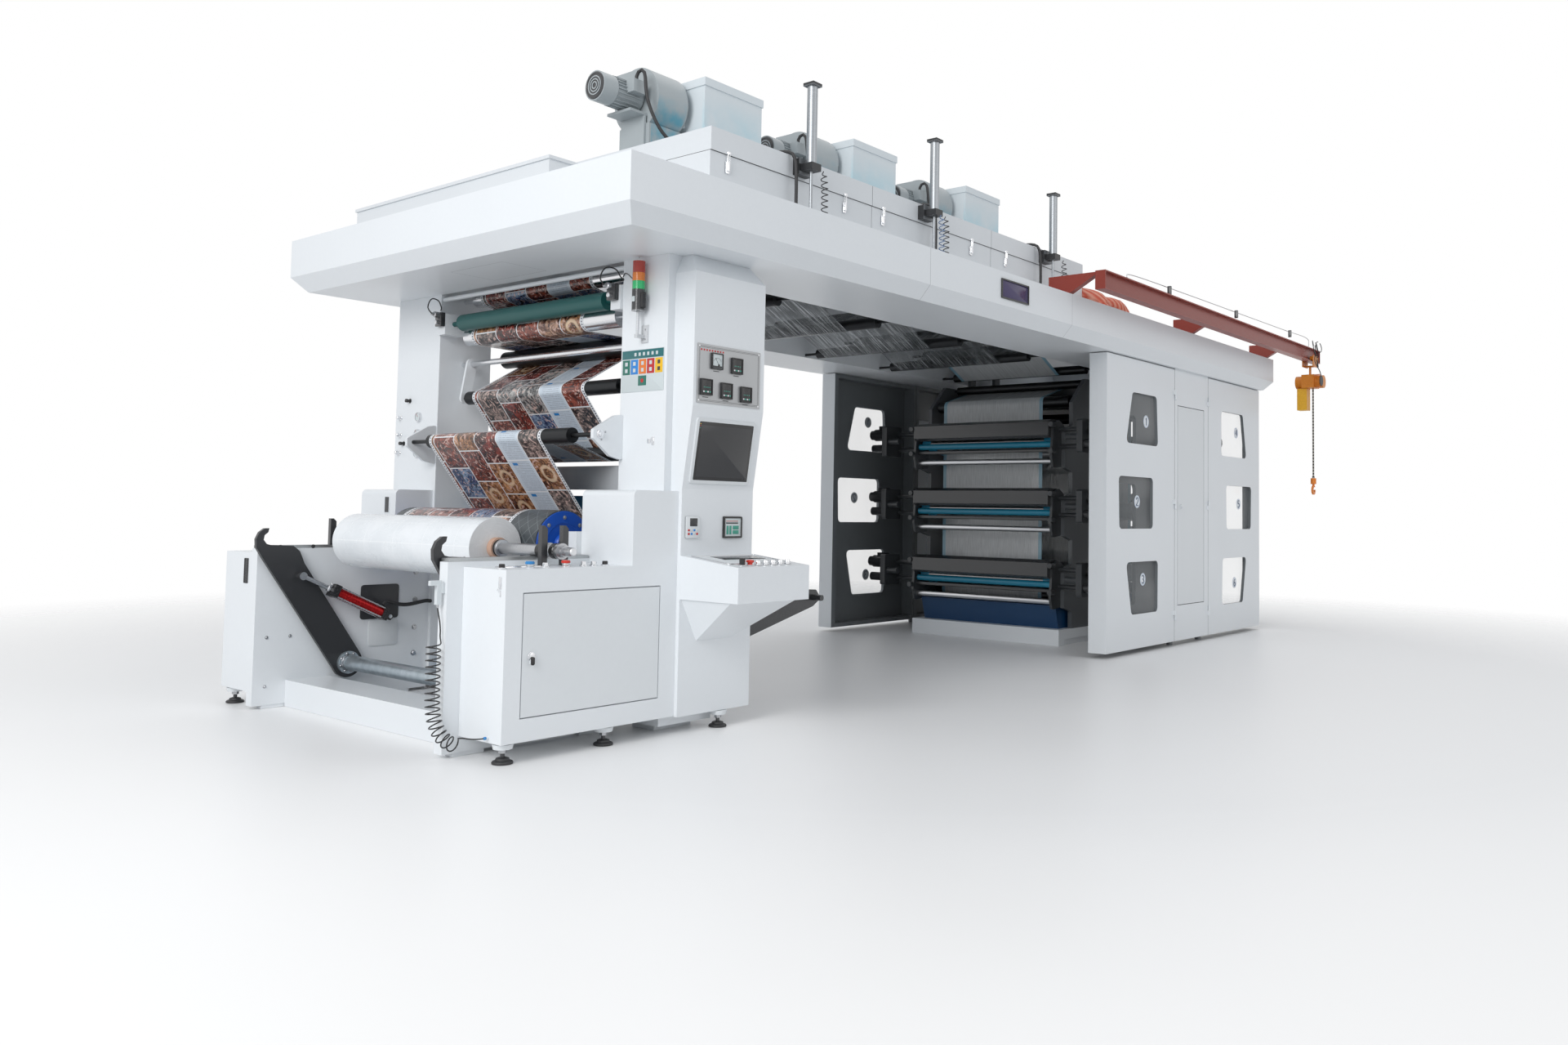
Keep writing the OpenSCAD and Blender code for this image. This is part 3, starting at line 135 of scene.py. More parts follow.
class Mat:
    """One procedural material on Object coordinates: a Principled shader and what feeds it."""

    def __init__(self, name):
        self.m = bpy.data.materials.new(name)
        self.m.use_nodes = True
        self.tree = self.m.node_tree
        self.shader = self.tree.nodes["Principled BSDF"]
        self.place = self.node("TexCoord", out="Object")
        self.x, self.y, self.z = (self.node("SeparateXYZ", out=i, Vector=self.place) for i in range(3))

    def put(self, socket, v):
        """A Sock is linked to socket, anything else becomes its value."""
        if isinstance(v, Sock):
            self.tree.links.new(v.out, socket)
        else:
            socket.default_value = (*v, 1) if isinstance(v, tuple) and len(v) == 3 and socket.type == "RGBA" else v

    def node(self, kind, out=0, props=(), **inputs):
        """One node of ShaderNode + kind; its inputs by name, its properties as pairs."""
        n = self.tree.nodes.new("ShaderNode" + kind)
        for k, v in props:
            setattr(n, k, v)
        for k, v in inputs.items():
            self.put(n.inputs[k.replace("_", " ")], v)
        return Sock(self, n.outputs[out])

    def noise(self, scale, detail=3.0, stretch=(1, 1, 1), out="Fac"):
        """Noise of scale per metre, with each axis stretched by its own factor."""
        at = self.node("Mapping", Vector=self.place, Scale=stretch)
        return self.node("TexNoise", out=out, Vector=at, Scale=scale, Detail=detail)

    def mix(self, a, b, fac):
        """Colour a turning into colour b as fac goes from 0 to 1."""
        n = self.tree.nodes.new("ShaderNodeMix")
        n.data_type = "RGBA"
        for i, v in ((0, fac), (6, a), (7, b)):
            self.put(n.inputs[i], v)
        return Sock(self, n.outputs[2])

    def ramp(self, fac, *stops):
        """Colour along fac: stops are (place, colour)."""
        n = self.tree.nodes.new("ShaderNodeValToRGB")
        while len(n.color_ramp.elements) < len(stops):
            n.color_ramp.elements.new(0.5)
        for e, (at, c) in zip(n.color_ramp.elements, stops):
            e.position, e.color = at, (*c, 1)
        self.put(n.inputs[0], fac)
        return Sock(self, n.outputs[0])

    def steps(self, fac, stops):
        """Colour that jumps along fac: stops are (place, colour)."""
        out = self.ramp(fac, *stops)
        out.out.node.color_ramp.interpolation = "CONSTANT"
        return out

    def tint(self, colour, k):
        """Colour made darker or lighter by the factor k."""
        n = self.tree.nodes.new("ShaderNodeVectorMath")
        n.operation = "SCALE"
        self.put(n.inputs[0], colour)
        self.put(n.inputs["Scale"], k)
        return Sock(self, n.outputs[0])

    def done(self, base, rough=0.5, metal=0.0, bump=None, height=0.001, **more):
        """Sets the shader: base colour, roughness, metallic, bump from a height field in metres."""
        self.put(self.shader.inputs["Base Color"], base)
        self.put(self.shader.inputs["Roughness"], rough)
        self.put(self.shader.inputs["Metallic"], metal)
        for k, v in more.items():
            self.put(self.shader.inputs[k.replace("_", " ")], v)
        if bump is not None:
            normal = self.node("Bump", out="Normal", Height=bump, Distance=height, Strength=1.0)
            self.put(self.shader.inputs["Normal"], normal)
        return self.m


def shade(c, k):
    """Colour c times k."""
    return tuple(min(1.0, v * k) for v in c)


def paint(name, colour, rough=0.38, low_darkening=0.10, peel=0.00012, coat=0.15):
    """Sprayed paint: slow drifts of tone, orange peel, and a darkening towards the bottom, below 0.35 m."""
    m = Mat(name)
    drift = m.noise(1.3, 2.0)
    fine = m.noise(38.0, 4.0)
    tone = m.mix(shade(colour, 0.955), shade(colour, 1.03), drift * 0.6 + fine * 0.4)
    # darker towards the bottom: below 0.35 m the tone is mixed toward a darker copy of the colour
    low = (1.0 - m.z / 0.35).op("MAXIMUM", 0.0) * (fine + 0.3) * low_darkening
    base = m.mix(tone, shade(colour, 0.62), low)
    return m.done(base, fine * 0.10 + (rough - 0.05), bump=m.noise(420.0, 2.0), height=peel, Coat_Weight=coat, Coat_Roughness=0.2)


def metal(name, colour, rough=0.28, along=(1, 1, 60), scale=14.0, wear=0.25, depth=0.00004):
    """Worked metal: fine marks stretched along one axis and a cloudy polish."""
    m = Mat(name)
    marks = m.noise(scale, 4.0, stretch=along)
    cloud = m.noise(5.0, 3.0)
    base = m.mix(shade(colour, 1 - wear), colour, cloud * 0.5 + marks * 0.6)
    return m.done(base, marks * 0.16 + cloud * 0.08 + (rough - 0.1), metal=1.0, bump=marks, height=depth)


def rubber(name, colour, rough=0.55, dust=0.12, depth=0.00008):
    """Ground rubber or matt plastic with a little dust."""
    m = Mat(name)
    fine, cloud = m.noise(260.0, 3.0), m.noise(7.0, 3.0)
    base = m.mix(colour, shade(tuple(c + 0.05 for c in colour), 1.3), cloud * dust + fine * dust)
    return m.done(base, cloud * 0.12 + (rough - 0.06), bump=fine, height=depth)


WHITE = (0.80, 0.83, 0.855)
DARK = (0.030, 0.031, 0.034)


def band(v, low, high, soft=0.0006):
    """1 where v lies between low and high, 0 outside."""
    return v.step(low, soft) * (1.0 - v.step(high, soft))


def lines(v, places, wide=0.0025):
    """1 on thin lines across v at each of the places."""
    marks = [band(v, at - wide / 2, at + wide / 2) for at in places]
    total = marks[0]
    for m in marks[1:]:
        total = total.op("MAXIMUM", m)
    return total


def painted(m, colour, rough=0.38, metal=0.0, low_darkening=0.10, peel=0.00012, coat=0.15):
    """Sprayed paint over colour, a value or a Sock, with drifts of tone, orange peel and a darkening towards the
    bottom, below 0.35 m.
    """
    drift, fine = m.noise(1.3, 2.0), m.noise(38.0, 4.0)
    tone = m.tint(colour, drift * 0.05 + fine * 0.03 + 0.94)
    # darker towards the bottom: below 0.35 m the tone is mixed toward a darker grey-brown
    low = (1.0 - m.z / 0.35).op("MAXIMUM", 0.0) * (fine + 0.3) * low_darkening
    base = m.mix(tone, (0.35, 0.34, 0.32), low)
    return m.done(base, fine * 0.10 + (rough - 0.05), metal, m.noise(420.0, 2.0), peel, Coat_Weight=coat, Coat_Roughness=0.2)


def housing_paint():
    """White leaves and walls, with painted shade in grey on their inner side, and the edge toward the winder left
    white.
    """
    m = Mat("housing_paint")
    # painted shade: the inner faces, with |y| under 1.6045, turn grey past x = -1.8805
    inner_shade = (1.0 - m.y.op("ABSOLUTE").step(1.6045, 0.0004)) * m.x.step(-1.8805, 0.0005)
    return painted(m, m.mix(WHITE, (0.18, 0.195, 0.205), inner_shade))


def canopy_paint():
    """White canopy with the dark joints between its fascia panels and round the hatch under its front."""
    m = Mat("canopy_paint")
    joints = lines(m.x, (-4.753, -2.762), 0.003) * m.y.op("ABSOLUTE").step(1.60)
    hatch = band(m.x, -7.10, -6.79) * band(m.y, -0.33, 0.20)
    core = band(m.x, -7.097, -6.793) * band(m.y, -0.327, 0.197)
    joints = joints + hatch * (1.0 - core) * (1.0 - m.z.step(2.66))
    return painted(m, m.mix(shade(WHITE, 1.02), (0.25, 0.26, 0.27), joints.op("MINIMUM", 0.8)), low_darkening=0.0)


def hood_paint():
    """White hoods with the dark seam between lid and tray."""
    m = Mat("hood_paint")
    seam = band(m.z, 3.3000, 3.3035) * m.x.step(HOOD_FRONT - 0.01)
    seam = seam.op("MAXIMUM", lines(m.x, (HOOD_FRONT + HOOD_LEN, HOOD_FRONT + 2 * HOOD_LEN), 0.004))
    return painted(m, m.mix(shade(WHITE, 0.93), (0.10, 0.105, 0.11), seam), low_darkening=0.0, peel=0.0003)


def stack_light_plastic():
    """Red, amber and green lenses with fine ribs on a black base and a bright pole."""
    m = Mat("stack_light")
    base = m.mix((0.62, 0.64, 0.66), (0.035, 0.037, 0.04), m.z.step(2.334))
    for at, colour in ((2.458, (0.02, 0.50, 0.16)), (2.505, (0.75, 0.20, 0.02)), (2.552, (0.42, 0.035, 0.02))):
        base = m.mix(base, colour, m.z.step(at, 0.001))
    ribs = (m.z * 900.0).op("SINE") * 0.5 + 0.5
    return m.done(m.tint(base, ribs * 0.18 + 0.86), m.noise(30.0) * 0.1 + 0.18, bump=ribs, height=0.0006, Coat_Weight=0.4)


def arms_metal():
    """Black painted hooks on a galvanised tube."""
    m = Mat("arm_paint_and_zinc")
    tube_part = 1.0 - m.y.op("ABSOLUTE").step(0.9248, 0.0004)
    flake = m.noise(28.0, 5.0)
    zinc = m.mix((0.30, 0.36, 0.40), (0.62, 0.68, 0.72), flake)
    base = m.mix(DARK, zinc, tube_part)
    return m.done(base, flake * 0.15 + 0.26, tube_part * 0.75, m.noise(300.0, 2.0), 0.0001)


def barrel_metal():
    """Red barrel between black end caps, with bright tie rods."""
    m = Mat("barrel_anodised")
    ux, uz = -0.9006, 0.4345
    along = (m.x - TAIL[0]) * ux + (m.z - TAIL[1]) * uz
    off = (m.x - TAIL[0]) * uz - (m.z - TAIL[1]) * ux
    side = m.y.op("ABSOLUTE") - LIFT_Y
    far = (off * off + side * side).op("SQRT")
    middle = band(along, 0.0645, 0.3895)
    rods = far.step(0.0325, 0.0005) * middle
    base = m.mix(m.mix((0.02, 0.02, 0.022), (0.50, 0.008, 0.010), middle), (0.55, 0.56, 0.58), rods)
    grain = m.noise(90.0, 3.0)
    return m.done(m.tint(base, grain * 0.15 + 0.9), grain * 0.1 + 0.22, middle * 0.55 + rods * 0.4, grain, 0.00005)


def drum_metal():
    """Dark drum cover with a cast diamond grid that runs round it."""
    m = Mat("drum_cover")
    turn = (m.z - DRUM[1]).op("ARCTAN2", m.x - DRUM[0]) * (DRUM[2] / 0.085)
    run = m.y / 0.085
    grid = 0.5 - (turn + run).op("PINGPONG", 0.5)
    other = 0.5 - (turn - run).op("PINGPONG", 0.5)
    line = grid.op("MAXIMUM", other).step(0.475, 0.02) * 0.9
    fine = m.noise(60.0, 4.0)
    base = m.mix(m.mix((0.045, 0.055, 0.062), (0.09, 0.105, 0.115), fine), (0.28, 0.31, 0.33), line * 0.6)
    return m.done(base, fine * 0.15 + 0.32, 0.25, line, 0.0006)


def roll_film_plastic():
    """Wound white film: spiral edge on the end faces, a faint pale print that shows through round it."""
    m = Mat("wound_film")
    dx, dz = m.x - ROLL[0], m.z - ROLL[1]
    far = (dx * dx + dz * dz).op("SQRT")
    turn = dz.op("ARCTAN2", dx)
    wind = m.node("TexNoise", Vector=m.node("CombineXYZ", X=far * 1.0, Y=turn * 0.004, Z=0.0), Scale=420.0, Detail=2.0)
    panels = lines((turn * 0.165 + 3.0).op("MODULO", 0.26), (0.0, 0.13), 0.004)
    columns = lines((m.y + 3.0).op("MODULO", 0.31), (0.02,), 0.004)
    face = far.step(0.1638, 0.0006)
    cloud = m.noise(9.0, 4.0, stretch=(1, 0.5, 1))
    print_tone = m.mix((0.83, 0.86, 0.885), (0.70, 0.74, 0.77), cloud.step(0.50, 0.25) * 0.45)
    print_tone = m.mix(print_tone, (0.90, 0.92, 0.93), (panels.op("MAXIMUM", columns)) * 0.8)
    edge = m.mix((0.60, 0.60, 0.60), (0.80, 0.81, 0.82), wind)
    return m.done(m.mix(edge, print_tone, face), cloud * 0.1 + 0.22, bump=m.noise(6.0, 2.0, stretch=(1, 3, 1)), height=0.002)


def press_cylinder_metal():
    """Bright cylinders with pale blue protective film round their ends."""
    m = Mat("print_cylinder")
    marks = m.noise(14.0, 4.0, stretch=(1, 60, 1))
    cover = band(m.y.op("ABSOLUTE"), 0.655, 0.759)
    base = m.mix(m.mix((0.30, 0.31, 0.32), (0.56, 0.57, 0.59), marks), (0.06, 0.42, 0.66), cover)
    return m.done(base, marks * 0.15 + 0.22, 1.0 - cover, marks, 0.00004)


def controls_plastic():
    """Brushed instrument plate, black instruments, grey keypad and bright button collars."""
    m = Mat("control_panels")
    upper = m.z.step(1.75)
    plate_part = upper * (1.0 - m.y.op("ABSOLUTE").step(1.48445, 0.0002))
    pad = band(m.z, 1.05, 1.20) * (1.0 - m.x.step(-6.45))
    buttons = 1.0 - m.z.step(1.02)
    brush = m.noise(60.0, 4.0, stretch=(1, 1, 30))
    base = m.mix((0.025, 0.026, 0.028), (0.44, 0.45, 0.46), plate_part)
    base = m.mix(m.mix(base, (0.36, 0.38, 0.39), pad), (0.55, 0.56, 0.57), buttons)
    return m.done(m.tint(base, brush * 0.14 + 0.9), brush * 0.12 + 0.30, (plate_part * 0.55).op("MAXIMUM", buttons), brush, 0.00003)


def clear_film():
    """Clear film on its way over the rollers: silvery, with painted highlight streaks on a dark base, long creases, and
    white in the print units.
    """
    m = Mat("clear_film")
    crease = m.noise(3.0, 5.0, stretch=(0.5, 9, 1))
    streak = m.noise(8.0, 3.0, stretch=(0.25, 14, 1))
    tower_part = m.x.step(-1.30, 0.4)
    # painted highlight: bright streaks in the film's colour, made more opaque in its alpha, stand in for reflections on
    # the clear film
    base = m.mix(m.mix((0.10, 0.11, 0.115), (0.72, 0.75, 0.77), streak.step(0.58, 0.16)), (0.72, 0.74, 0.75), tower_part)
    tape = band((m.y - 0.098).op("ABSOLUTE"), 0.545, 0.60) * tower_part
    return m.done(m.mix(base, (0.10, 0.48, 0.68), tape * 0.6), streak * 0.12 + 0.14, (1.0 - tower_part) * 0.45,
                  crease, 0.006, Alpha=tower_part * 0.42 + streak * 0.5 + 0.18, Coat_Weight=0.3)


def fan_paint():
    """Grey fan housings with the pale blue film still on the lower part of the scroll."""
    m = Mat("fan_paint")
    low = (1.0 - m.z.step(3.76, 0.12)) * m.noise(9.0, 4.0).step(0.48, 0.3)
    scroll = band((m.x - HOOD_FRONT).op("MODULO", HOOD_LEN), 0.165, 0.405, 0.004)
    return painted(m, m.mix((0.40, 0.44, 0.455), (0.08, 0.36, 0.48), low * scroll * 0.85), rough=0.42, low_darkening=0.0)


def filter_paint():
    """White filter boxes with pale blue film on the lower half of the near side."""
    m = Mat("filter_paint")
    cover = (1.0 - m.z.step(3.78, 0.25)) * (1.0 - m.y.step(-0.78)) * m.noise(4.0, 3.0).step(0.42, 0.3)
    return painted(m, m.mix((0.74, 0.80, 0.83), (0.42, 0.70, 0.80), cover * 0.7), low_darkening=0.0)


def hood_cylinder_metal():
    """Drawn tubes between black caps, clamps and feet."""
    m = Mat("hood_cylinder")
    black = (m.z.step(3.8748) + band(m.z, HOOD_TOP - 0.1005, HOOD_TOP - 0.0548) + (1.0 - m.z.step(3.0565))).op("MINIMUM", 1.0)
    clamp = (band(m.z, HOOD_TOP - 0.1205, HOOD_TOP - 0.0195) * m.y.step(-1.406)).op("MAXIMUM", black)
    marks = m.noise(30.0, 4.0, stretch=(1, 1, 30))
    base = m.mix(m.mix((0.22, 0.24, 0.26), (0.46, 0.48, 0.50), marks), (0.02, 0.021, 0.023), clamp)
    return m.done(base, marks * 0.15 + 0.28, (1.0 - clamp) * 0.7, marks, 0.00005)


def hoist_paint():
    """Orange hoist with its grey chain and yellow chain bag."""
    m = Mat("hoist_paint")
    x, y, z = HOIST
    below = 1.0 - m.z.step(z - 0.305)
    chain = below * band(m.y, y - 0.046, y - 0.014)
    bag = below * m.y.step(y + 0.018)
    links = ((m.z * 180.0).op("SINE") * 0.5 + 0.5).step(0.4, 0.2)
    base = m.mix((0.76, 0.25, 0.012), (0.90, 0.48, 0.02), bag)
    base = m.mix(base, m.mix((0.05, 0.045, 0.04), (0.42, 0.40, 0.36), links), chain)
    fine = m.noise(60.0, 4.0)
    return m.done(m.tint(base, fine * 0.3 + 0.78), fine * 0.15 + 0.32, chain * 0.7, fine, 0.0003)


def duct_plastic():
    """Orange-red spiral duct: the rib follows the length of the pipe."""
    m = Mat("spiral_duct")
    rib = ((m.x + m.z * 0.6) * 190.0).op("SINE") * 0.5 + 0.5
    base = m.mix((0.62, 0.10, 0.05), (0.80, 0.36, 0.26), rib)
    return m.done(base, m.noise(20.0) * 0.1 + 0.4, bump=rib, height=0.006)


def printed_film():
    """Printed web: columns of tiles in browns, tans, blue and grey between white gutters, ruled bars in
    the text column, ring motifs, and the register marks along both edges. u runs across, v along the web."""
    m = Mat("printed_film")
    uv = m.node("UVMap")
    u, v = (m.node("SeparateXYZ", out=i, Vector=uv) for i in range(2))
    column = (u / 0.222).op("FLOOR")
    shift = m.node("TexWhiteNoise", props=(("noise_dimensions", "1D"),), W=column + 0.5)
    tall = 0.235
    along = v / tall + shift * 0.8
    row = along.op("FLOOR")
    cell = m.node("CombineXYZ", X=column + 0.5, Y=row + 0.5, Z=0.0)
    pick = m.node("TexWhiteNoise", props=(("noise_dimensions", "2D"),), Vector=cell)
    fu, fv = (u / 0.222).op("FRACT"), along.op("FRACT")
    gutter = 1.0 - band(fu, 0.018, 0.982, 0.004) * band(fv, 0.018, 0.982, 0.004)
    at = m.node("CombineXYZ", X=u, Y=v, Z=pick * 9.0)
    soft = m.node("TexNoise", Vector=at, Scale=11.0, Detail=6.0, Roughness=0.62, Distortion=1.4)
    fine = m.node("TexNoise", Vector=at, Scale=46.0, Detail=4.0, Distortion=0.6)
    deep = m.steps(pick, ((0.0, (0.055, 0.010, 0.008)), (0.22, (0.008, 0.008, 0.010)), (0.40, (0.11, 0.034, 0.015)),
                          (0.55, (0.022, 0.006, 0.006)), (0.68, (0.008, 0.030, 0.12)), (0.78, (0.05, 0.055, 0.06)),
                          (0.88, (0.07, 0.014, 0.008))))
    light = m.steps(pick, ((0.0, (0.42, 0.10, 0.06)), (0.22, (0.45, 0.34, 0.30)), (0.40, (0.66, 0.34, 0.16)),
                           (0.55, (0.38, 0.06, 0.04)), (0.68, (0.35, 0.48, 0.66)), (0.78, (0.62, 0.60, 0.58)),
                           (0.88, (0.70, 0.42, 0.28))))
    tone = m.mix(deep, light, soft.step(0.53, 0.22) * 0.75 + fine.step(0.60, 0.2) * 0.35)
    blob = m.node("TexNoise", Vector=at, Scale=17.0, Detail=2.0, Distortion=2.5)
    tone = m.mix(tone, (0.72, 0.50, 0.44), blob.step(0.60, 0.05) * 0.75)
    tone = m.mix(tone, (0.006, 0.006, 0.008), (1.0 - blob.step(0.40, 0.06)) * 0.8)
    du, dv = (fu - 0.5) * 0.222, (fv - 0.48) * tall
    ring = (du * du + dv * dv).op("SQRT") + (soft - 0.5) * 0.02
    dish = band(ring, 0.040, 0.062, 0.010) * band(pick, 0.44, 0.55)
    tone = m.mix(tone, (0.82, 0.62, 0.42), dish * 0.75)
    rules = band((v / 0.0125).op("FRACT"), 0.30, 0.62, 0.1) * m.node("TexNoise", Vector=at, Scale=70.0).step(0.40, 0.2)
    panel = m.mix((0.60, 0.68, 0.76), (0.13, 0.15, 0.20), rules * band(fu, 0.10, 0.86) * 0.55)
    panel = m.mix(panel, (0.03, 0.22, 0.55), band(fu, 0.62, 0.84) * band(fv, 0.08, 0.16))
    is_panel = band(column, 0.5, 1.5, 0.1) * band(pick, 0.0, 0.62, 0.01)
    tone = m.mix(tone, panel, is_panel)
    tone = m.mix(tone, (0.80, 0.82, 0.84), gutter)
    edge = 1.0 - band(u, 0.028, 1.137, 0.001)
    marks = (band(u, 0.008, 0.018) + band(u, 1.147, 1.157)) * band((v / 0.018).op("FRACT"), 0.2, 0.75, 0.05)
    margin = m.mix((0.82, 0.84, 0.86), (0.04, 0.05, 0.10), marks)
    base = m.mix(tone, margin, edge)
    crease = m.node("TexNoise", Vector=m.node("CombineXYZ", X=u * 7.0, Y=v * 0.6, Z=0.0), Scale=2.0, Detail=3.0)
    return m.done(base, soft * 0.10 + 0.20, bump=crease, height=0.004, Coat_Weight=0.35, Coat_Roughness=0.12)


def clear_pane():
    """Window pane: a pale, slightly streaked clear plastic."""
    m = Mat("clear_pane")
    streak = m.noise(3.0, 3.0, stretch=(1, 1, 0.3))
    return m.done(m.mix((0.45, 0.48, 0.50), (0.66, 0.70, 0.72), streak), streak * 0.08 + 0.03, Alpha=streak * 0.08 + 0.10)


def make_materials():
    """All materials by name."""
    plain = {
        "white": (WHITE, {}), "panel": ((0.66, 0.70, 0.72), {}), "light": ((0.72, 0.75, 0.77), {}),
        "leaf_grey": ((0.74, 0.77, 0.79), {}), "grey": ((0.10, 0.108, 0.115), {"rough": 0.36}),
        "plate_grey": ((0.040, 0.044, 0.048), {"rough": 0.30}), "dark": (DARK, {"rough": 0.24, "peel": 0.0004, "coat": 0.4}),
        "blue": ((0.010, 0.13, 0.26), {"rough": 0.35}), "end_blue": ((0.006, 0.085, 0.48), {"rough": 0.3}),
        "deep_blue": ((0.006, 0.050, 0.14), {"rough": 0.35}), "signal_red": ((0.60, 0.03, 0.015), {"rough": 0.3}),
        "signal_blue": ((0.015, 0.22, 0.55), {"rough": 0.3}), "orange": ((0.80, 0.22, 0.012), {"rough": 0.4}),
        "beam_red": ((0.25, 0.024, 0.010), {"rough": 0.42}), "yellow": ((0.80, 0.42, 0.015), {"rough": 0.42}),
        "teal_print": ((0.006, 0.13, 0.14), {}), "green_print": ((0.012, 0.15, 0.11), {}),
        "blue_print": ((0.02, 0.22, 0.62), {}), "orange_print": ((0.75, 0.18, 0.02), {}),
        "red_print": ((0.50, 0.012, 0.012), {}), "yellow_print": ((0.85, 0.50, 0.01), {}),
        "board": ((0.60, 0.66, 0.67), {}), "screen_green": ((0.03, 0.30, 0.22), {"rough": 0.2}),
        "ink": ((0.03, 0.032, 0.036), {"rough": 0.5}),
    }
    made = {k: paint(k + "_paint", c, **{"low_darkening": 0.0 if k not in ("white", "grey") else 0.10, **more})
            for k, (c, more) in plain.items()}
    made |= {
        "black": rubber("black_rubber", (0.018, 0.018, 0.020)),
        "black_gloss": rubber("black_gloss", (0.012, 0.012, 0.013), rough=0.22),
        "glass_dark": rubber("screen_glass", (0.030, 0.031, 0.034), rough=0.16, dust=0.04),
        "display": rubber("display_violet", (0.035, 0.022, 0.10), rough=0.2, dust=0.05),
        "teal": rubber("teal_rubber", (0.002, 0.085, 0.080), rough=0.42),
        "ink_blue": rubber("ink_blue_rubber", (0.006, 0.20, 0.32), rough=0.25),
        "core": rubber("card_core", (0.52, 0.33, 0.24), rough=0.6),
        "clear_hose": rubber("blue_hose", (0.13, 0.20, 0.34), rough=0.2),
        "gun": rubber("gun_plastic", (0.62, 0.66, 0.68), rough=0.3),
        "roller_black": metal("roller_black", (0.045, 0.047, 0.050), rough=0.36, along=(1, 40, 1)),
        "steel": metal("ground_steel", (0.52, 0.53, 0.55), along=(1, 60, 1)),
        "chrome": metal("hard_chrome", (0.80, 0.81, 0.83), rough=0.17, along=(1, 60, 1), wear=0.10),
        "alu": metal("aluminium", (0.70, 0.71, 0.73), rough=0.32, along=(1, 50, 1), wear=0.12),
        "rail_steel": metal("rail_steel", (0.50, 0.52, 0.53), rough=0.36, along=(30, 1, 1)),
        "housing": housing_paint(), "canopy": canopy_paint(), "hood": hood_paint(), "lamp": stack_light_plastic(),
        "arms": arms_metal(), "barrel": barrel_metal(), "drum": drum_metal(), "wound": roll_film_plastic(),
        "cylinders": press_cylinder_metal(), "controls": controls_plastic(), "clear_film": clear_film(),
        "fan": fan_paint(), "filter": filter_paint(), "duct": duct_plastic(), "hoist": hoist_paint(), "posts": hood_cylinder_metal(), "print": printed_film(),
        "pane": clear_pane(),
    }
    return made


NODE_MATERIALS = {
    "white": "print_base towers console desk winder_frame cabinet_near cabinet_far roller_brackets",
    "leaf_grey": "cabinet_door access_door_near access_door_far",
    "housing": "wall_near wall_far door_front_near door_rear_near door_front_far door_rear_far",
    "pane": "window_front_near window_rear_near window_front_far window_rear_far",
    "canopy": "canopy", "deep_blue": "drip_tray", "grey": "unit_frames", "cylinders": "print_cylinders",
    "alu": "deck_rollers", "plate_grey": "deck_brackets", "dark": "ink_units roll_stops levelling_feet unwind_arms",
    "ink_blue": "ink_rollers", "blue": "blue_beams", "steel": "console_screen roll_shaft", "controls": "controls",
    "lamp": "stack_light", "rail_steel": "roll_rails", "arms": "lift_arms", "barrel": "lift_barrel",
    "chrome": "lift_rod chrome_rollers", "posts": "hood_cylinders", "wound": "film_roll", "drum": "winding_drum",
    "roller_black": "front_roller guide_rollers", "teal": "nip_roller", "print": "web_tower",
    "clear_film": "web_overhead", "hood": "hoods", "fan": "blowers", "filter": "filter_boxes",
    "black": "power_cables air_hose", "duct": "air_ducts", "beam_red": "hoist_beam", "hoist": "hoist", "orange": "hook",
    "gun": "air_gun",
}


def dress():
    """Each CAD node gets its material."""
    for key, names in NODE_MATERIALS.items():
        for name in names.split():
            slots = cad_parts[name].data.materials
            slots.clear()
            slots.append(MATS[key])


def unit(v):
    """v made one long."""
    v = np.asarray(v, float)
    return v / np.linalg.norm(v)


def across(axis):
    """Two unit vectors square to axis and to each other."""
    axis = unit(axis)
    s = unit(np.cross(axis, (0, 0, 1) if abs(axis[2]) < 0.9 else (1, 0, 0)))
    return s, np.cross(axis, s)


def skin(rings, around=False):
    """Surface through closed rings of equal count: quads between rings i and i+1, then end caps, or, where
    around is set, quads from the last ring back to the first."""
    rings = np.asarray(rings, float)
    m, n = rings.shape[:2]
    i, k = np.meshgrid(np.arange(m if around else m - 1), np.arange(n), indexing="ij")
    j, after = (k + 1) % n, (i + 1) % m
    faces = np.stack([i * n + k, i * n + j, after * n + j, after * n + k], -1).reshape(-1, 4).tolist()
    if not around:
        faces += [list(range(n))[::-1], list(range((m - 1) * n, m * n))]
    return rings.reshape(-1, 3), faces


def turned(at, axis, profile, n=24):
    """Surface of revolution: p(t, a) = at + axis d(t) + r(t) (cos a s + sin a t), profile as (d, r) pairs."""
    axis = unit(axis)
    s, t = across(axis)
    a = np.linspace(0, 2 * np.pi, n, endpoint=False)
    ring = np.cos(a)[:, None] * s + np.sin(a)[:, None] * t
    around = profile[0] == profile[-1]
    return skin([np.asarray(at) + axis * d + ring * max(r, 1e-5) for d, r in profile[:-1 if around else None]], around)


def corner_loop(w, h, r, n=4):
    """Outline of a w by h rectangle with corners of radius r, as (k, 2) points about its middle."""
    r = max(r, 1e-5)
    out = []
    for q, (sx, sy) in enumerate(((1, 1), (-1, 1), (-1, -1), (1, -1))):
        a = (q + np.linspace(0, 1, n + 1)) * np.pi / 2
        out.append(np.stack([sx * (w / 2 - r) + r * np.cos(a), sy * (h / 2 - r) + r * np.sin(a)], -1))
    return np.concatenate(out)


def plate(at, u, v, w, h, deep, r=0.003, bevel=0.0008):
    """Plate of w by h on the plane through at along u and v, standing out by deep, its rim bevelled."""
    u, v = unit(u), unit(v)
    out = np.cross(u, v)
    rings = []
    for d, inset in ((0, 0), (deep - bevel, 0), (deep - 0.3 * bevel, 0.35 * bevel), (deep, bevel)):
        loop = corner_loop(w - 2 * inset, h - 2 * inset, r - inset)
        rings.append(np.asarray(at) + loop[:, :1] * u + loop[:, 1:] * v + out * d)
    return skin(rings)


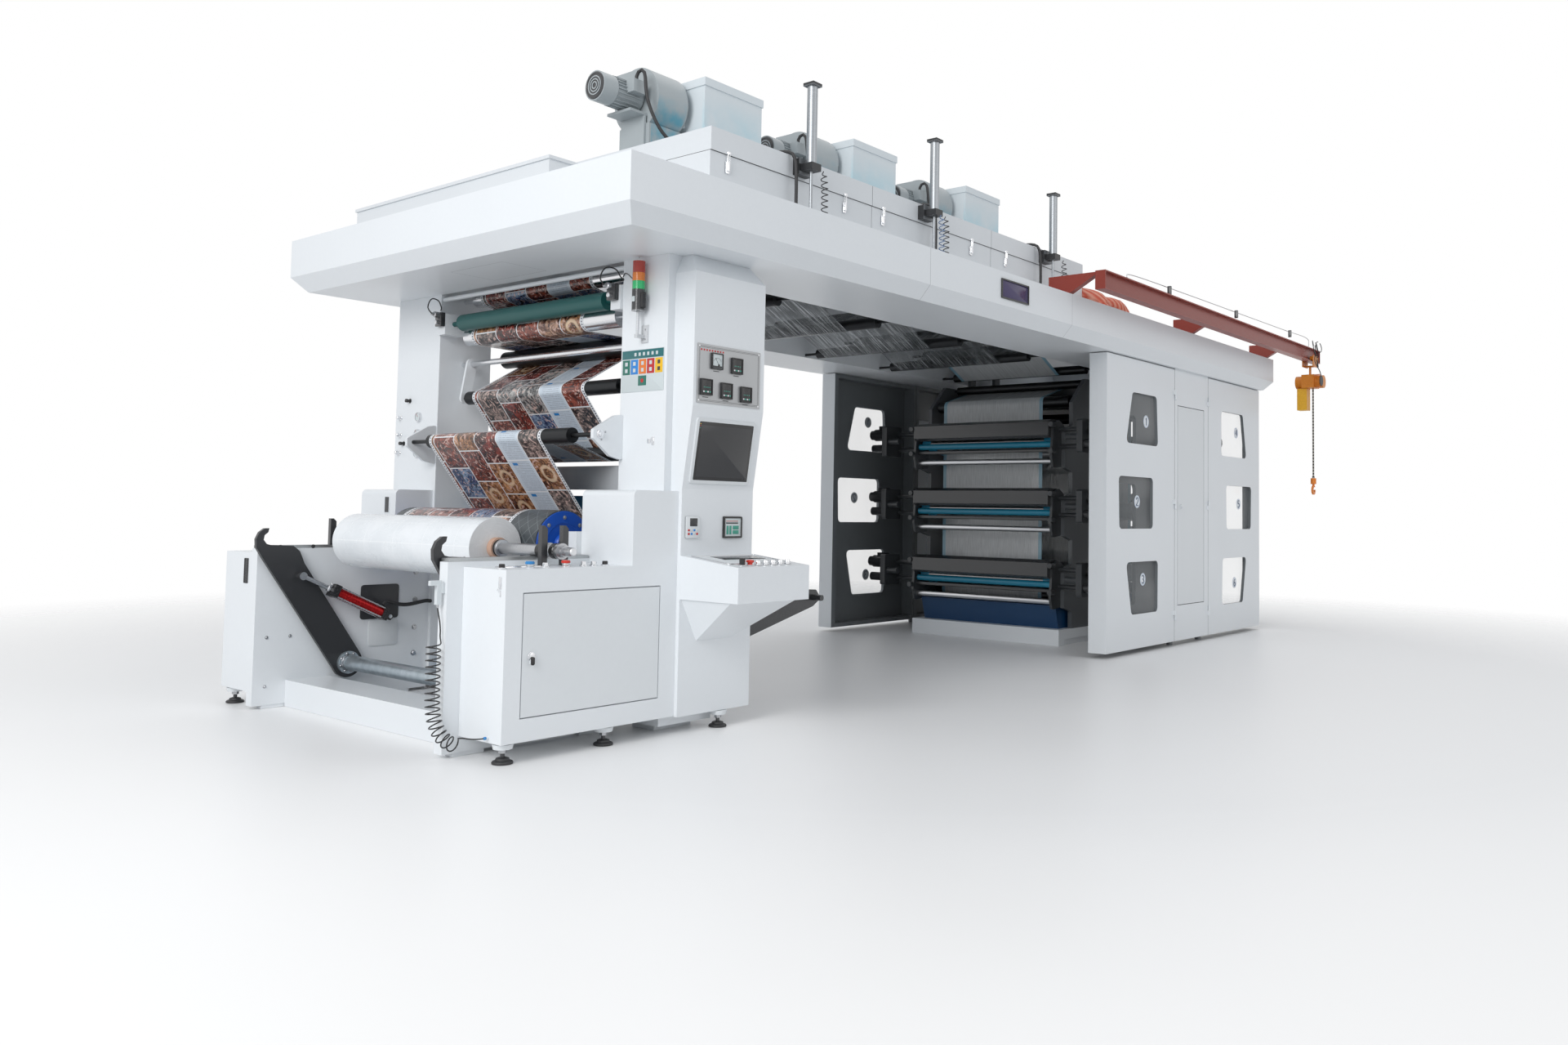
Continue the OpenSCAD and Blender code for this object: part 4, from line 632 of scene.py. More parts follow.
def frame_plate(at, u, v, w, h, rim, deep, r=0.004):
    """Open rectangular bezel: a closed ring section of rim by deep carried round the outline."""
    u, v = unit(u), unit(v)
    out = np.cross(u, v)
    rings = []
    for d, inset in ((0, 0), (deep, 0.0006), (deep, rim - 0.0006), (0, rim)):
        loop = corner_loop(w - 2 * inset, h - 2 * inset, r - inset * 0.6)
        rings.append(np.asarray(at) + loop[:, :1] * u + loop[:, 1:] * v + out * d)
    return skin(rings, around=True)


def smooth_line(points, step=0.01):
    """Catmull-Rom curve through points, resampled to an even step."""
    p = np.asarray(points, float)
    e = np.concatenate([[2 * p[0] - p[1]], p, [2 * p[-1] - p[-2]]])
    out = []
    for i in range(1, len(e) - 2):
        t = np.linspace(0, 1, 24, endpoint=False)[:, None]
        a, b, c, d = e[i - 1:i + 3]
        out.append(0.5 * (2 * b + (c - a) * t + (2 * a - 5 * b + 4 * c - d) * t**2 + (3 * b - a - 3 * c + d) * t**3))
    q = np.concatenate([*out, p[-1:]])
    s = np.concatenate([[0], np.cumsum(np.linalg.norm(np.diff(q, axis=0), axis=1))])
    at = np.linspace(0, s[-1], max(3, int(s[-1] / step) + 1))
    return np.stack([np.interp(at, s, q[:, k]) for k in range(3)], -1)


def carried(line):
    """Side vectors along a line, turned as little as may be from point to point."""
    d = np.gradient(line, axis=0)
    d /= np.linalg.norm(d, axis=1)[:, None]
    s = [across(d[0])[0]]
    for k in range(1, len(d)):
        s.append(unit(s[-1] - d[k] * (s[-1] @ d[k])))
    s = np.asarray(s)
    return s, np.cross(d, s)


def tube(line, r, n=10):
    """Round tube along a line: p(i, a) = line(i) + r(i) (cos a s(i) + sin a t(i))."""
    line = np.asarray(line, float)
    s, t = carried(line)
    a = np.linspace(0, 2 * np.pi, n, endpoint=False)
    r = np.broadcast_to(np.asarray(r, float), len(line))[:, None, None]
    return skin(line[:, None] + r * (np.cos(a)[None, :, None] * s[:, None] + np.sin(a)[None, :, None] * t[:, None]))


def coil(line, radius, turns, points=14):
    """Helix round a line: c(w) = line(w) + radius (cos 2 pi turns w s + sin 2 pi turns w t)."""
    line = np.asarray(line, float)
    s, t = carried(line)
    w = np.linspace(0, 1, int(turns * points) + 1)
    old = np.linspace(0, 1, len(line))
    ease = np.clip(np.minimum(w, 1 - w) * turns, 0, 1)
    at, sw, tw = (np.stack([np.interp(w, old, q[:, k]) for k in range(3)], -1) for q in (line, s, t))
    a = 2 * np.pi * turns * w
    return at + (radius * ease)[:, None] * (np.cos(a)[:, None] * sw + np.sin(a)[:, None] * tw)


class Piece:
    """Surfaces gathered into one object that rides on a body, each with its own material."""

    def __init__(self, name, body="press"):
        self.name, self.body, self.parts, self.mapped = name, body, [], False

    def add(self, surface, key, uv=None):
        """Adds one (points, faces) surface in material key, with a u, v pair a point where uv is given."""
        points, faces = surface
        self.parts.append((points, faces, np.zeros((len(points), 2)) if uv is None else uv, key))
        self.mapped = self.mapped or uv is not None
        return self

    def make(self, flat=28, slot=None):
        """The finished object, with edges sharper than flat degrees kept sharp."""
        keys = sorted({k for *_, k in self.parts})
        points, faces, maps, which, base = [], [], [], [], 0
        for p, f, uv, k in self.parts:
            points.append(p)
            maps.append(uv)
            faces += [[i + base for i in q] for q in f]
            which += [keys.index(k)] * len(f)
            base += len(p)
        mesh = bpy.data.meshes.new(self.name)
        mesh.from_pydata(np.concatenate(points).tolist(), [], faces)
        mesh.polygons.foreach_set("material_index", which)
        mesh.polygons.foreach_set("use_smooth", [True] * len(which))
        if self.mapped:
            corner = np.empty(len(mesh.loops), np.int32)
            mesh.loops.foreach_get("vertex_index", corner)
            mesh.uv_layers.new(name="UVMap").data.foreach_set("uv", np.concatenate(maps)[corner].ravel().astype(np.float32))
        mesh.set_sharp_from_angle(angle=math.radians(flat))
        for k in keys:
            mesh.materials.append(MATS[k])
        obj = bpy.data.objects.new(self.name, mesh)
        bpy.context.collection.objects.link(obj)
        if self.body:
            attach(obj, self.body)
        return obj
# Cords


def evened(line, step):
    """The line resampled to even steps of its own length."""
    line = np.asarray(line, float)
    s = np.concatenate([[0], np.cumsum(np.linalg.norm(np.diff(line, axis=0), axis=1))])
    at = np.linspace(0, s[-1], int(s[-1] / step) + 1)
    return np.stack([np.interp(at, s, line[:, k]) for k in range(3)], -1)


def length_of(line):
    """Length of a line of points."""
    return float(np.linalg.norm(np.diff(line, axis=0), axis=1).sum())


def winding(line, radius, turns, start, end, run=0.08):
    """Helix round a line, c(s) = line(a) + radius (cos g s + sin g t), that leaves and ends along the line:
    the angle to the axis eases from 0 to the winding angle over a length of run at each end.
    start and end are the directions in which its two ends lie from the line."""
    line = evened(line, 0.002)
    side, lift = carried(line)
    total = length_of(line)
    slope = total / (turns * 2 * np.pi * radius)
    q = np.linspace(0, 1, 4000)
    reach = total / np.sin(np.arctan(slope))
    ease = np.clip(np.minimum(q, 1 - q) * reach / run, 0, 1)
    ease = ease * ease * (3 - 2 * ease)
    angle = np.pi / 2 + (np.arctan(slope) - np.pi / 2) * ease
    forward = np.concatenate([[0], np.cumsum(np.sin(angle[1:]))])
    spin = np.concatenate([[0], np.cumsum(np.cos(angle[1:]))])
    forward, spin = forward / forward[-1] * (len(line) - 1), spin / spin[-1]
    g0 = math.atan2(np.dot(start, lift[0]), np.dot(start, side[0]))
    g1 = math.atan2(np.dot(end, lift[-1]), np.dot(end, side[-1]))
    g = g0 + spin * (2 * np.pi * round(turns) + (g1 - g0))
    old = np.arange(len(line))
    at, s, t = (np.stack([np.interp(forward, old, v[:, k]) for k in range(3)], -1) for v in (line, side, lift))
    return at + radius * (np.cos(g)[:, None] * s + np.sin(g)[:, None] * t)


GUN_Y = -1.002
COIL = [(-7.884, -1.014, 0.602), (-7.884, -1.014, 0.500), (-7.884, -1.016, 0.390), (-7.884, -1.018, 0.290),
        (-7.880, -1.028, 0.205), (-7.868, -1.054, 0.140), (-7.850, -1.094, 0.098), (-7.830, -1.140, 0.082),
        (-7.812, -1.176, 0.084)]
HOSE = 0.007


def make_air_hose():
    """Coiled hose from the fitting in the cabinet up to the blow gun: smooth ends and a wound middle."""
    wound = winding(smooth_line(COIL, 0.002)[::-1], 0.0335, 17, Z, (1, 0, 0))
    foot = smooth_line([(-7.7593, -1.283, 0.124), (-7.768, -1.2822, 0.1237), (-7.782, -1.266, 0.121),
                        (-7.792, -1.240, 0.118), (-7.801, -1.210, 0.1165), wound[0]], 0.002)
    top = smooth_line([wound[-1], wound[-1] + [0, 0, 0.02], (-7.853, -1.011, 0.660), (-7.858, -1.005, 0.700),
                       (-7.862, GUN_Y, 0.730), (-7.862, GUN_Y, 0.744)], 0.002)
    line = evened(np.concatenate([foot[:-1], wound, top[1:]]), 0.0115)
    hose = Piece("coiled_air_hose").add(tube(line, HOSE / 2, 10), "black_gloss").make(60, "air_hose")
    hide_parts("air_hose")
    ends = Piece("hose_ends")
    ends.add(turned((-7.759, -1.283, 0.124), (-1, 0, 0), [(-0.001, 0.0), (0, 0.0075), (0.010, 0.0075), (0.012, 0.0045),
                                                          (0.012, 0.0)], 16), "signal_blue")
    ends.add(turned((-7.862, GUN_Y, 0.7445), (0, 0, -1), [(0, 0.0), (0, 0.0065), (0.012, 0.0065), (0.016, 0.0042),
                                                          (0.016, 0.0)], 16), "steel")
    ends = ends.make(30, "air_hose")


def lead_route(k):
    """Route of one motor lead, as in part.scad, in metres."""
    x, y, z, fan = HOOD_FRONT + HOOD_LEN * k, -0.500, HOOD_TOP, 0.370
    p = [(0.060, y - 0.115, z + fan + 0.0706), (0.060, y - 0.115, z + fan + 0.102), (0.062, y - 0.142, z + fan + 0.132),
         (0.068, y - 0.180, z + fan + 0.108), (0.080, y - 0.205, z + 0.300), (0.160, y - 0.250, z + 0.120),
         (0.300, y - 0.300, z + 0.026), (0.430, y - 0.350, z + 0.020), (0.600, -1.000, z + 0.020),
         (0.640, -1.200, z + 0.020), (0.670, -1.330, z + 0.020), (0.684, -1.385, z - 0.020),
         (0.688, -1.400, z - 0.160), (0.688, -1.400, ROOF + 0.001)]
    return [(x + a, b, c) for a, b, c in p]


def make_motor_leads():
    """Black leads from the motor boxes over the hoods and down their side."""
    for k in range(3):
        line = smooth_line(lead_route(k), 0.03)
        lead = Piece(f"motor_lead_{k + 1}").add(tube(line, 0.011, 12), "black").make(60, "power_cables")
    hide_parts("power_cables")


# Film


FILM_R = 0.0008
ROLLERS = ((-5.210, 2.672, 0.044, -1), (-6.513, 2.625, 0.055, 1), (-6.390, 2.500, 0.035, -1),
           (-6.567, 2.361, 0.062, 1), (-6.277, 2.237, 0.058, -1), (-6.560, 1.950, 0.045, 1),
           (-6.370, 1.560, 0.045, -1), (-6.866, 1.640, 0.045, 1), (-6.555, 1.085, 0.045, -1), (*DRUM, 1))
LAST_TURN = 270 + math.degrees(math.atan((DRUM[1] - ROLL[1]) / (DRUM[0] - ROLL[0])))


def heading(a, b):
    """Direction of the film from roller a to roller b, in radians."""
    dx, dz = b[0] - a[0], b[1] - a[1]
    return math.atan2(dz, dx) - math.asin((b[3] * (b[2] + FILM_R) - a[3] * (a[2] + FILM_R)) / math.hypot(dx, dz))


def beside(c, t):
    """Points of the film's middle on roller c, c - side (r + gap) (-sin t, cos t), and their side vectors."""
    t = np.atleast_1d(t)
    n = np.stack([-np.sin(t), np.cos(t)], -1)
    return np.asarray(c[:2]) - c[3] * (c[2] + FILM_R) * n, n


def wrap_angles(c, t0, t1):
    """Headings of the film round roller c, close enough for a sagitta of 0.15 mm."""
    d = (t1 - t0) % (2 * np.pi) if c[3] > 0 else -((t0 - t1) % (2 * np.pi))
    return t0 + d * np.linspace(0, 1, max(2, int(abs(d) / (2 * math.acos(1 - 0.00015 / c[2]))) + 2))


def make_tower_film():
    """Printed film over the tower rollers to the drum: a section 1 mm by the web width carried along the path."""
    way = [heading(a, b) for a, b in zip(ROLLERS[:-1], ROLLERS[1:])]
    parts = [beside(ROLLERS[0], way[0])]
    parts += [beside(c, wrap_angles(c, way[i], way[i + 1])) for i, c in enumerate(ROLLERS[1:-1])]
    parts.append(beside(ROLLERS[-1], wrap_angles(ROLLERS[-1], way[-1], math.radians(LAST_TURN))))
    mid, n = (np.concatenate([p[i] for p in parts]) for i in range(2))
    s = np.concatenate([[0], np.cumsum(np.linalg.norm(np.diff(mid, axis=0), axis=1))])
    rings, uv = [], []
    across_web = np.linspace(WEB[0], WEB[1], 2)
    for face, ys in ((0.0005, across_web), (-0.0005, across_web[::-1])):
        for y in ys:
            p = mid + n * face
            rings.append(np.stack([p[:, 0], np.full(len(p), y), p[:, 1]], -1))
            uv.append(np.stack([np.full(len(p), y - WEB[0]), s], -1))
    film = Piece("tower_film").add(skin(np.stack(rings, 1)), "print", np.stack(uv, 1).reshape(-1, 2))
    film = film.make(50, "web_tower")
    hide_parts("web_tower")


# Winder


def bolt(at, out, r=0.008, deep=0.006):
    """Washer and hexagon head, standing out from at."""
    return turned(at, out, [(-0.001, 0.0), (-0.001, r * 1.7), (0.0012, r * 1.7), (0.0014, r * 1.1)], 18), \
        turned(at, out, [(0.001, 0.0), (0.001, r * 1.15), (deep * 0.8, r * 1.15), (deep, r * 0.95), (deep, 0.0)], 6)


def put_bolts(piece, places, out, r=0.008, deep=0.006, key="steel"):
    """Bolts on a piece."""
    for at in places:
        for s in bolt(at, out, r, deep):
            piece.add(s, key)
    return piece


def ring_places(at, out, radius, count, phase=0.0):
    """Points evenly round a circle about at, square to out."""
    s, t = across(out)
    a = phase + np.arange(count) * 2 * np.pi / count
    return np.asarray(at) + radius * (np.cos(a)[:, None] * s + np.sin(a)[:, None] * t)


def make_winder():
    """Drum end plates, core, arm flanges, cylinder fittings and hoses, bolts and rail screws."""
    ends = Piece("drum_end_plates", "winding_drum")
    hub = [(0.0, 0.0305), (0.0, 0.184), (0.0035, 0.186), (0.006, 0.183), (0.006, 0.118), (0.0025, 0.112), (0.0025, 0.062),
           (0.016, 0.058), (0.022, 0.054), (0.022, 0.0305), (0.0, 0.0305)]
    for way in (-1, 1):
        at = (DRUM[0], way * 0.7675, DRUM[1])
        ends.add(turned(at, (0, way, 0), hub, 64), "end_blue")
        put_bolts(ends, ring_places((DRUM[0], way * 0.7735, DRUM[1]), (0, way, 0), 0.150, 8), (0, way, 0), 0.007)
    ends.make(30, "winding_drum")

    core = Piece("roll_core", "film_roll")
    for at, way in ((ROLL_ENDS[0], -1), (ROLL_ENDS[1], 1)):
        core.add(turned((ROLL[0], at + way * 0.0003, ROLL[1]), (0, way, 0),
                        [(0, 0.0462), (0, 0.0555), (0.002, 0.0570), (0.036, 0.0570), (0.038, 0.0555), (0.038, 0.0462),
                         (0, 0.0462)], 48), "core")
        core.add(turned((ROLL[0], at + way * 0.055, ROLL[1]), (0, way, 0),
                        [(0, 0.0312), (0, 0.047), (0.012, 0.047), (0.014, 0.045), (0.014, 0.0312), (0, 0.0312)], 40), "steel")
    core.make(30, "film_roll")

    shaft = Piece("shaft_details", "film_roll")
    for y in (-1.175, -1.060, 0.872, 0.985):
        shaft.add(turned((ROLL[0], y, ROLL[1]), Y, [(-0.020, 0.0308), (-0.020, 0.0365), (-0.014, 0.0405), (0.014, 0.0405),
                                                    (0.020, 0.0365), (0.020, 0.0308), (-0.020, 0.0308)], 40), "black_gloss")
    shaft.add(turned((ROLL[0], -1.3150, ROLL[1]), (0, -1, 0), [(0, 0.0), (0, 0.0215), (0.005, 0.017), (0.005, 0.0)], 32), "alu")
    shaft.make(30, "roll_shaft")

    flanges = Piece("arm_flanges", "lift_arms")
    for way in (-1, 1):
        put_bolts(flanges, ring_places((PIVOT[0], way * 0.9068, PIVOT[1]), (0, -way, 0), 0.058, 8, 0.3), (0, -way, 0), 0.006)
        flanges.add(turned((PIVOT[0], way * 0.888, PIVOT[1]), (0, way, 0),
                           [(0, 0.0462), (0, 0.049), (0.016, 0.053), (0.0185, 0.0535), (0.0185, 0.0462), (0, 0.0462)], 40), "steel")
        at = (PIVOT[0] - 0.330, way * 0.9245, PIVOT[1] + 0.550)
        for s in bolt((at[0], way * 0.9502, at[2]), (0, way, 0), 0.009, 0.007):
            flanges.add(s, "chrome")
    flanges.make(30, "lift_arms")

    barrel = Piece("cylinder_fittings", "lift_barrel")
    ux, uz = -0.9006, 0.4345
    for way in (-1, 1):
        for d in (0.050, 0.404):
            at = (TAIL[0] + ux * d - uz * 0.038, way * LIFT_Y, TAIL[1] + uz * d + ux * -0.038)
            barrel.add(turned(at, (-uz, 0, -ux), [(-0.001, 0.0), (0, 0.0095), (0.010, 0.0095), (0.012, 0.007), (0.022, 0.007),
                                                  (0.024, 0.0), ], 12), "chrome")
    barrel.make(30, "lift_barrel")
    rod = Piece("rod_lock_nut", "lift_rod")
    for way in (-1, 1):
        at = (TAIL[0] + ux * 0.445, way * LIFT_Y, TAIL[1] + uz * 0.445)
        rod.add(turned(at, (ux, 0, uz), [(0, 0.0132), (0, 0.0215), (0.011, 0.0215), (0.013, 0.0195), (0.013, 0.0132), (0, 0.0132)], 6), "chrome")
    rod.make(25, "lift_rod")

    for way, name in ((-1, "near"), (1, "far")):
        tail = np.array((TAIL[0] - 0.045, way * (LIFT_Y - 0.004), TAIL[1] + 0.075))
        line = smooth_line([tail, tail + [0.030, 0, 0.020], tail + [0.10, 0, 0.0], tail + [0.18, 0.004 * way, -0.006],
                            (-6.760, way * 0.915, 0.592), (-6.705, way * 0.935, 0.588)], 0.012)
        hose = Piece("lift_hose_" + name, None).add(tube(line, 0.0125, 12), "black")
        hose = hose.make(50, "lift_barrel")
        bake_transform(hose)

    bolts = Piece("plate_bolts")
    put_bolts(bolts, [(x, 0.9648, z) for x in (-7.76, -7.62) for z in (0.13, 0.42)], (0, -1, 0), 0.006)
    put_bolts(bolts, [(-6.80, 0.9648, z) for z in (0.25, 0.42, 0.60, 0.78)], (0, -1, 0), 0.011, 0.009)
    put_bolts(bolts, [(x, s * 0.9648, 0.961) for x in (-7.70, -7.50, -7.08) for s in (-1, 1)], (0, -1, 0), 0.007, key="ink")
    bolts.add(plate((-7.05, 0.9648, 0.60), X, Z, 0.26, 0.22, 0.006, 0.02), "ink")
    bolts.add(plate((-7.02, 0.9648, 0.40), X, Z, 0.20, 0.17, 0.004, 0.02), "light")
    bolts.make(30, "winder_frame")

    valve = Piece("air_valves")
    valve.add(plate((-7.02, -0.9642, 0.46), (-1, 0, 0), Z, 0.11, 0.30, 0.05, 0.008), "black_gloss")
    valve.add(plate((-7.02, -0.9140, 0.30), (-1, 0, 0), Z, 0.20, 0.03, 0.02, 0.004), "black")
    valve.add(turned((-7.02, -0.905, 0.30), (0, 0, 1), [(-0.005, 0.0), (-0.005, 0.026), (0.060, 0.026), (0.075, 0.012), (0.12, 0.012),
                                                       (0.12, 0.0)], 24), "black")
    valve.add(plate((-7.02, -0.9642, 0.205), (-1, 0, 0), Z, 0.16, 0.09, 0.012, 0.004), "light")
    valve.make(30, "winder_frame")


def make_cabinets():
    """Button caps, key lock, toggle clasp, labels' bare plates, the vent of the far cabinet, and its slot, drawn as a
    dark plate of painted shade in a white bezel.
    """
    row = Piece("cabinet_buttons")
    for k, x in enumerate((0.044, 0.205, 0.298, 0.423, 0.537, 0.601, 0.676)):
        at = (CAB_FRONT + x, -1.285, CAB_TOP + 0.0003)
        row.add(turned(at, Z, [(0, 0.0), (0, 0.0225), (0.004, 0.0225), (0.006, 0.020), (0.006, 0.0)], 28), "chrome")
        if k in (1, 3):
            row.add(turned(at, Z, [(0.006, 0.0), (0.006, 0.0135), (0.016, 0.0145), (0.019, 0.0225), (0.027, 0.0235),
                                   (0.033, 0.0195), (0.035, 0.0)], 28), "signal_blue" if k == 1 else "signal_red")
        else:
            row.add(turned(at, Z, [(0.006, 0.0), (0.006, 0.0148), (0.020, 0.0148), (0.0235, 0.0125), (0.0245, 0.0)], 24),
                    "black_gloss" if k in (0, 6) else "chrome")
    row.add(plate((-7.55, -1.205, CAB_TOP + 0.0003), X, Y, 0.24, 0.055, 0.006, 0.006), "chrome")
    row.make(30, "controls")

    lock = Piece("door_lock", "cabinet_door")
    lock.add(turned((-7.592, -CAB_SIDE - 0.0005, 0.507), (0, -1, 0),
                    [(0, 0.0), (0, 0.021), (0.004, 0.0205), (0.006, 0.017), (0.0125, 0.0165), (0.0135, 0.014), (0.0135, 0.0)], 32), "chrome")
    lock.add(plate((-7.592, -CAB_SIDE - 0.0166, 0.484), X, Z, 0.022, 0.040, 0.004, 0.009), "black_gloss")
    lock.make(30, "cabinet_door")

    clasp = Piece("toggle_clasp")
    at = np.array((CAB_FRONT - 0.0003, -1.345, 0.862))
    clasp.add(plate(at, *FRONT, 0.016, 0.060, 0.003, 0.003), "chrome")
    clasp.add(plate(at + [-0.003, 0, 0.006], *FRONT, 0.010, 0.050, 0.007, 0.003), "chrome")
    clasp.add(tube(smooth_line([at + [-0.008, 0, -0.012], at + [-0.012, 0.006, -0.030], at + [-0.010, 0.014, -0.036],
                                at + [-0.006, 0.018, -0.028]], 0.004), 0.0018, 8), "chrome")
    clasp.add(plate(at + [0, 0, -0.052], *FRONT, 0.008, 0.030, 0.002, 0.002), "chrome")
    clasp.make(30, "cabinet_near")

    slot = Piece("far_cabinet_vent")
    slot.add(frame_plate((-7.8275, 1.115, 0.815), *FRONT, 0.050, 0.150, 0.005, 0.004), "black")
    slot.add(plate((-7.8275, 1.115, 0.815), *FRONT, 0.042, 0.142, 0.0015, 0.002), "ink")
    for k in range(9):
        slot.add(plate((-7.8287, 1.115, 0.755 + 0.015 * k), *FRONT, 0.040, 0.006, 0.002, 0.001), "black")
    slot.make(30, "cabinet_far")
    # painted shade: a dark plate inside a white bezel stands for the shade within the slot
    dark = Piece("far_cabinet_slot")
    dark.add(plate((-6.9673, 1.06, 1.225), *FRONT, 0.050, 0.100, 0.002, 0.003), "ink")
    dark.add(frame_plate((-6.9673, 1.06, 1.225), *FRONT, 0.060, 0.110, 0.005, 0.004), "white")
    dark.make(30, "cabinet_far")
    feet = Piece("feet_rings")
    for x, y in ((CAB_FRONT + 0.057, -1.319), (CAB_FRONT + 0.668, -1.319), (-6.305, -1.380),
                 (CAB_FRONT - 0.025, 1.319), (CAB_FRONT + 0.668, 1.319)):
        feet.add(turned((x, y, 0.0), Z, [(0.0004, 0.0), (0.0004, 0.050), (0.006, 0.0515), (0.012, 0.048), (0.018, 0.034),
                                         (0.026, 0.0315), (0.030, 0.020), (0.030, 0.0)], 32), "black")
        feet.add(turned((x, y, 0.0), Z, [(0.050, 0.0), (0.050, 0.020), (0.066, 0.020), (0.066, 0.0)], 6), "steel")
        feet.add(turned((x, y, 0.0), Z, [(0.070, 0.0), (0.070, 0.046), (0.085, 0.050), (0.0935, 0.050), (0.0935, 0.0)], 32), "light")
    feet.make(30, "levelling_feet")


# Console


def make_console():
    """Instrument plate with meter and controllers, leaning screen, keypad, touch panel, desk controls."""
    front = -(CONSOLE + 0.0044)
    lines_piece = Piece("instrument_plate_lines")
    for inset in (0.012, 0.018):
        lines_piece.add(frame_plate((-6.375, front, 1.980), *NEAR, 0.505 - 2 * inset, 0.330 - 2 * inset, 0.0016, 0.0006, 0.003), "ink")
    for x, z in ((-6.612, 2.130), (-6.138, 2.130), (-6.612, 1.830), (-6.138, 1.830)):
        for s in bolt((x, front, z), (0, -1, 0), 0.003, 0.003):
            lines_piece.add(s, "chrome")
    for k in range(9):
        lines_piece.add(plate((-6.597 + 0.021 * k, front, 2.112), *NEAR, 0.012, 0.010, 0.0006, 0.001), "red_print")
    lines_piece.make(30, "controls")

    for name, x, z, deep in (("meter", -6.481, 2.056, 0.0136), ("controller_1", -6.323, 2.045, 0.0156),
                             ("controller_2", -6.561, 1.905, 0.0156), ("controller_3", -6.403, 1.896, 0.0156),
                             ("controller_4", -6.245, 1.888, 0.0156)):
        y = -(CONSOLE + deep + 0.0003)
        box = Piece("console_" + name)
        box.add(frame_plate((x, y, z), *NEAR, 0.088, 0.092, 0.007, 0.004, 0.004), "black_gloss")
        if name == "meter":
            box.add(plate((x, y, z), *NEAR, 0.075, 0.079, 0.0008, 0.002), "board")
            arc = np.radians(np.linspace(35, 145, 12))
            arc = np.stack([x + 0.034 * np.cos(arc), np.full(12, y - 0.0014), z - 0.022 + 0.040 * np.sin(arc)], -1)
            box.add(tube(arc, 0.0006, 6), "ink")
            box.add(tube([(x + 0.010, y - 0.0018, z - 0.022), (x - 0.004, y - 0.0018, z - 0.002), (x - 0.018, y - 0.0018, z + 0.018)],
                         0.0007, 6), "ink")
            box.add(turned((x + 0.010, y - 0.0008, z - 0.022), (0, -1, 0), [(0, 0.0), (0, 0.007), (0.003, 0.006), (0.003, 0.0)], 20), "black_gloss")
            box.add(plate((x, y - 0.0008, z - 0.032), *NEAR, 0.070, 0.012, 0.001, 0.001), "ink")
        else:
            box.add(plate((x, y, z), *NEAR, 0.075, 0.079, 0.0012, 0.002), "black_gloss")
            for r, (n, key, tall) in enumerate(((4, "red_print", 0.008), (4, "screen_green", 0.006))):
                for k in range(n):
                    box.add(plate((x - 0.021 + 0.014 * k, y - 0.0012, z + 0.012 - 0.014 * r), *NEAR, 0.007, tall, 0.0004, 0.001),
                            "ink" if r == 0 else "screen_green")
            for k in range(4):
                box.add(plate((x - 0.024 + 0.016 * k, y - 0.0012, z - 0.026), *NEAR, 0.011, 0.009, 0.0012, 0.002),
                        "screen_green" if k % 2 else "light")
        box.add(plate((x, front, z - 0.056), *NEAR, 0.046, 0.004, 0.0004, 0.001), "ink")
        box.make(30, "controls")

    up = unit((0, -0.070, 0.460))
    at = np.array((-6.373, -PEDESTAL, 1.340)) + up * 0.216
    out = np.cross(X, up)
    screen = Piece("console_screen_dressed")
    screen.add(plate(at + out * 0.0003, X, up, 0.475, 0.372, 0.006, 0.018, 0.002), "light")
    screen.add(frame_plate(at + out * 0.006, X, up, 0.470, 0.367, 0.020, 0.004, 0.017), "light")
    screen.add(plate(at + out * 0.006, X, up, 0.436, 0.334, 0.0035, 0.006), "black_gloss")
    screen.add(plate(at + out * 0.0095, X, up, 0.396, 0.290, 0.0005, 0.003), "glass_dark")
    for k, key in enumerate(("yellow_print", "red_print", "screen_green")):
        screen.add(plate(at + out * 0.0096 - np.array(X) * 0.207 + up * (0.150 - 0.011 * k), X, up, 0.006, 0.005, 0.0006, 0.002), key)
    screen = screen.make(30, "console_screen")
    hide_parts("console_screen")

    side = -(PEDESTAL + 0.0086)
    pad = Piece("keypad")
    pad.add(plate((-6.570, side, 1.128), *NEAR, 0.105, 0.120, 0.003, 0.006), "light")
    pad.add(plate((-6.566, side - 0.003, 1.156), *NEAR, 0.056, 0.044, 0.0015, 0.003), "glass_dark")
    keys = ("red_print", "board", "blue_print", "board", "red_print", "blue_print", "board", "red_print")
    for k, key in enumerate(keys):
        pad.add(plate((-6.602 + 0.021 * (k % 4), side - 0.003, 1.112 - 0.020 * (k // 4)), *NEAR, 0.014, 0.012, 0.0018, 0.003), key)
    pad.make(30, "controls")
    touch = Piece("touch_panel")
    touch.add(frame_plate((-6.255, side, 1.128), *NEAR, 0.150, 0.124, 0.011, 0.004, 0.008), "black_gloss")
    touch.add(plate((-6.255, side, 1.128), *NEAR, 0.130, 0.104, 0.0012, 0.003), "board")
    touch.add(plate((-6.262, side - 0.0012, 1.152), *NEAR, 0.098, 0.008, 0.0004, 0.001), "ink")
    touch.add(plate((-6.262, side - 0.0012, 1.163), *NEAR, 0.098, 0.004, 0.0004, 0.001), "red_print")
    for x, z, w, h in ((-6.298, 1.112, 0.018, 0.050), (-6.275, 1.112, 0.018, 0.050), (-6.232, 1.126, 0.050, 0.022),
                       (-6.232, 1.100, 0.050, 0.022)):
        touch.add(plate((x, side - 0.0012, z), *NEAR, w, h, 0.0005, 0.002), "screen_green")
    touch.make(30, "controls")

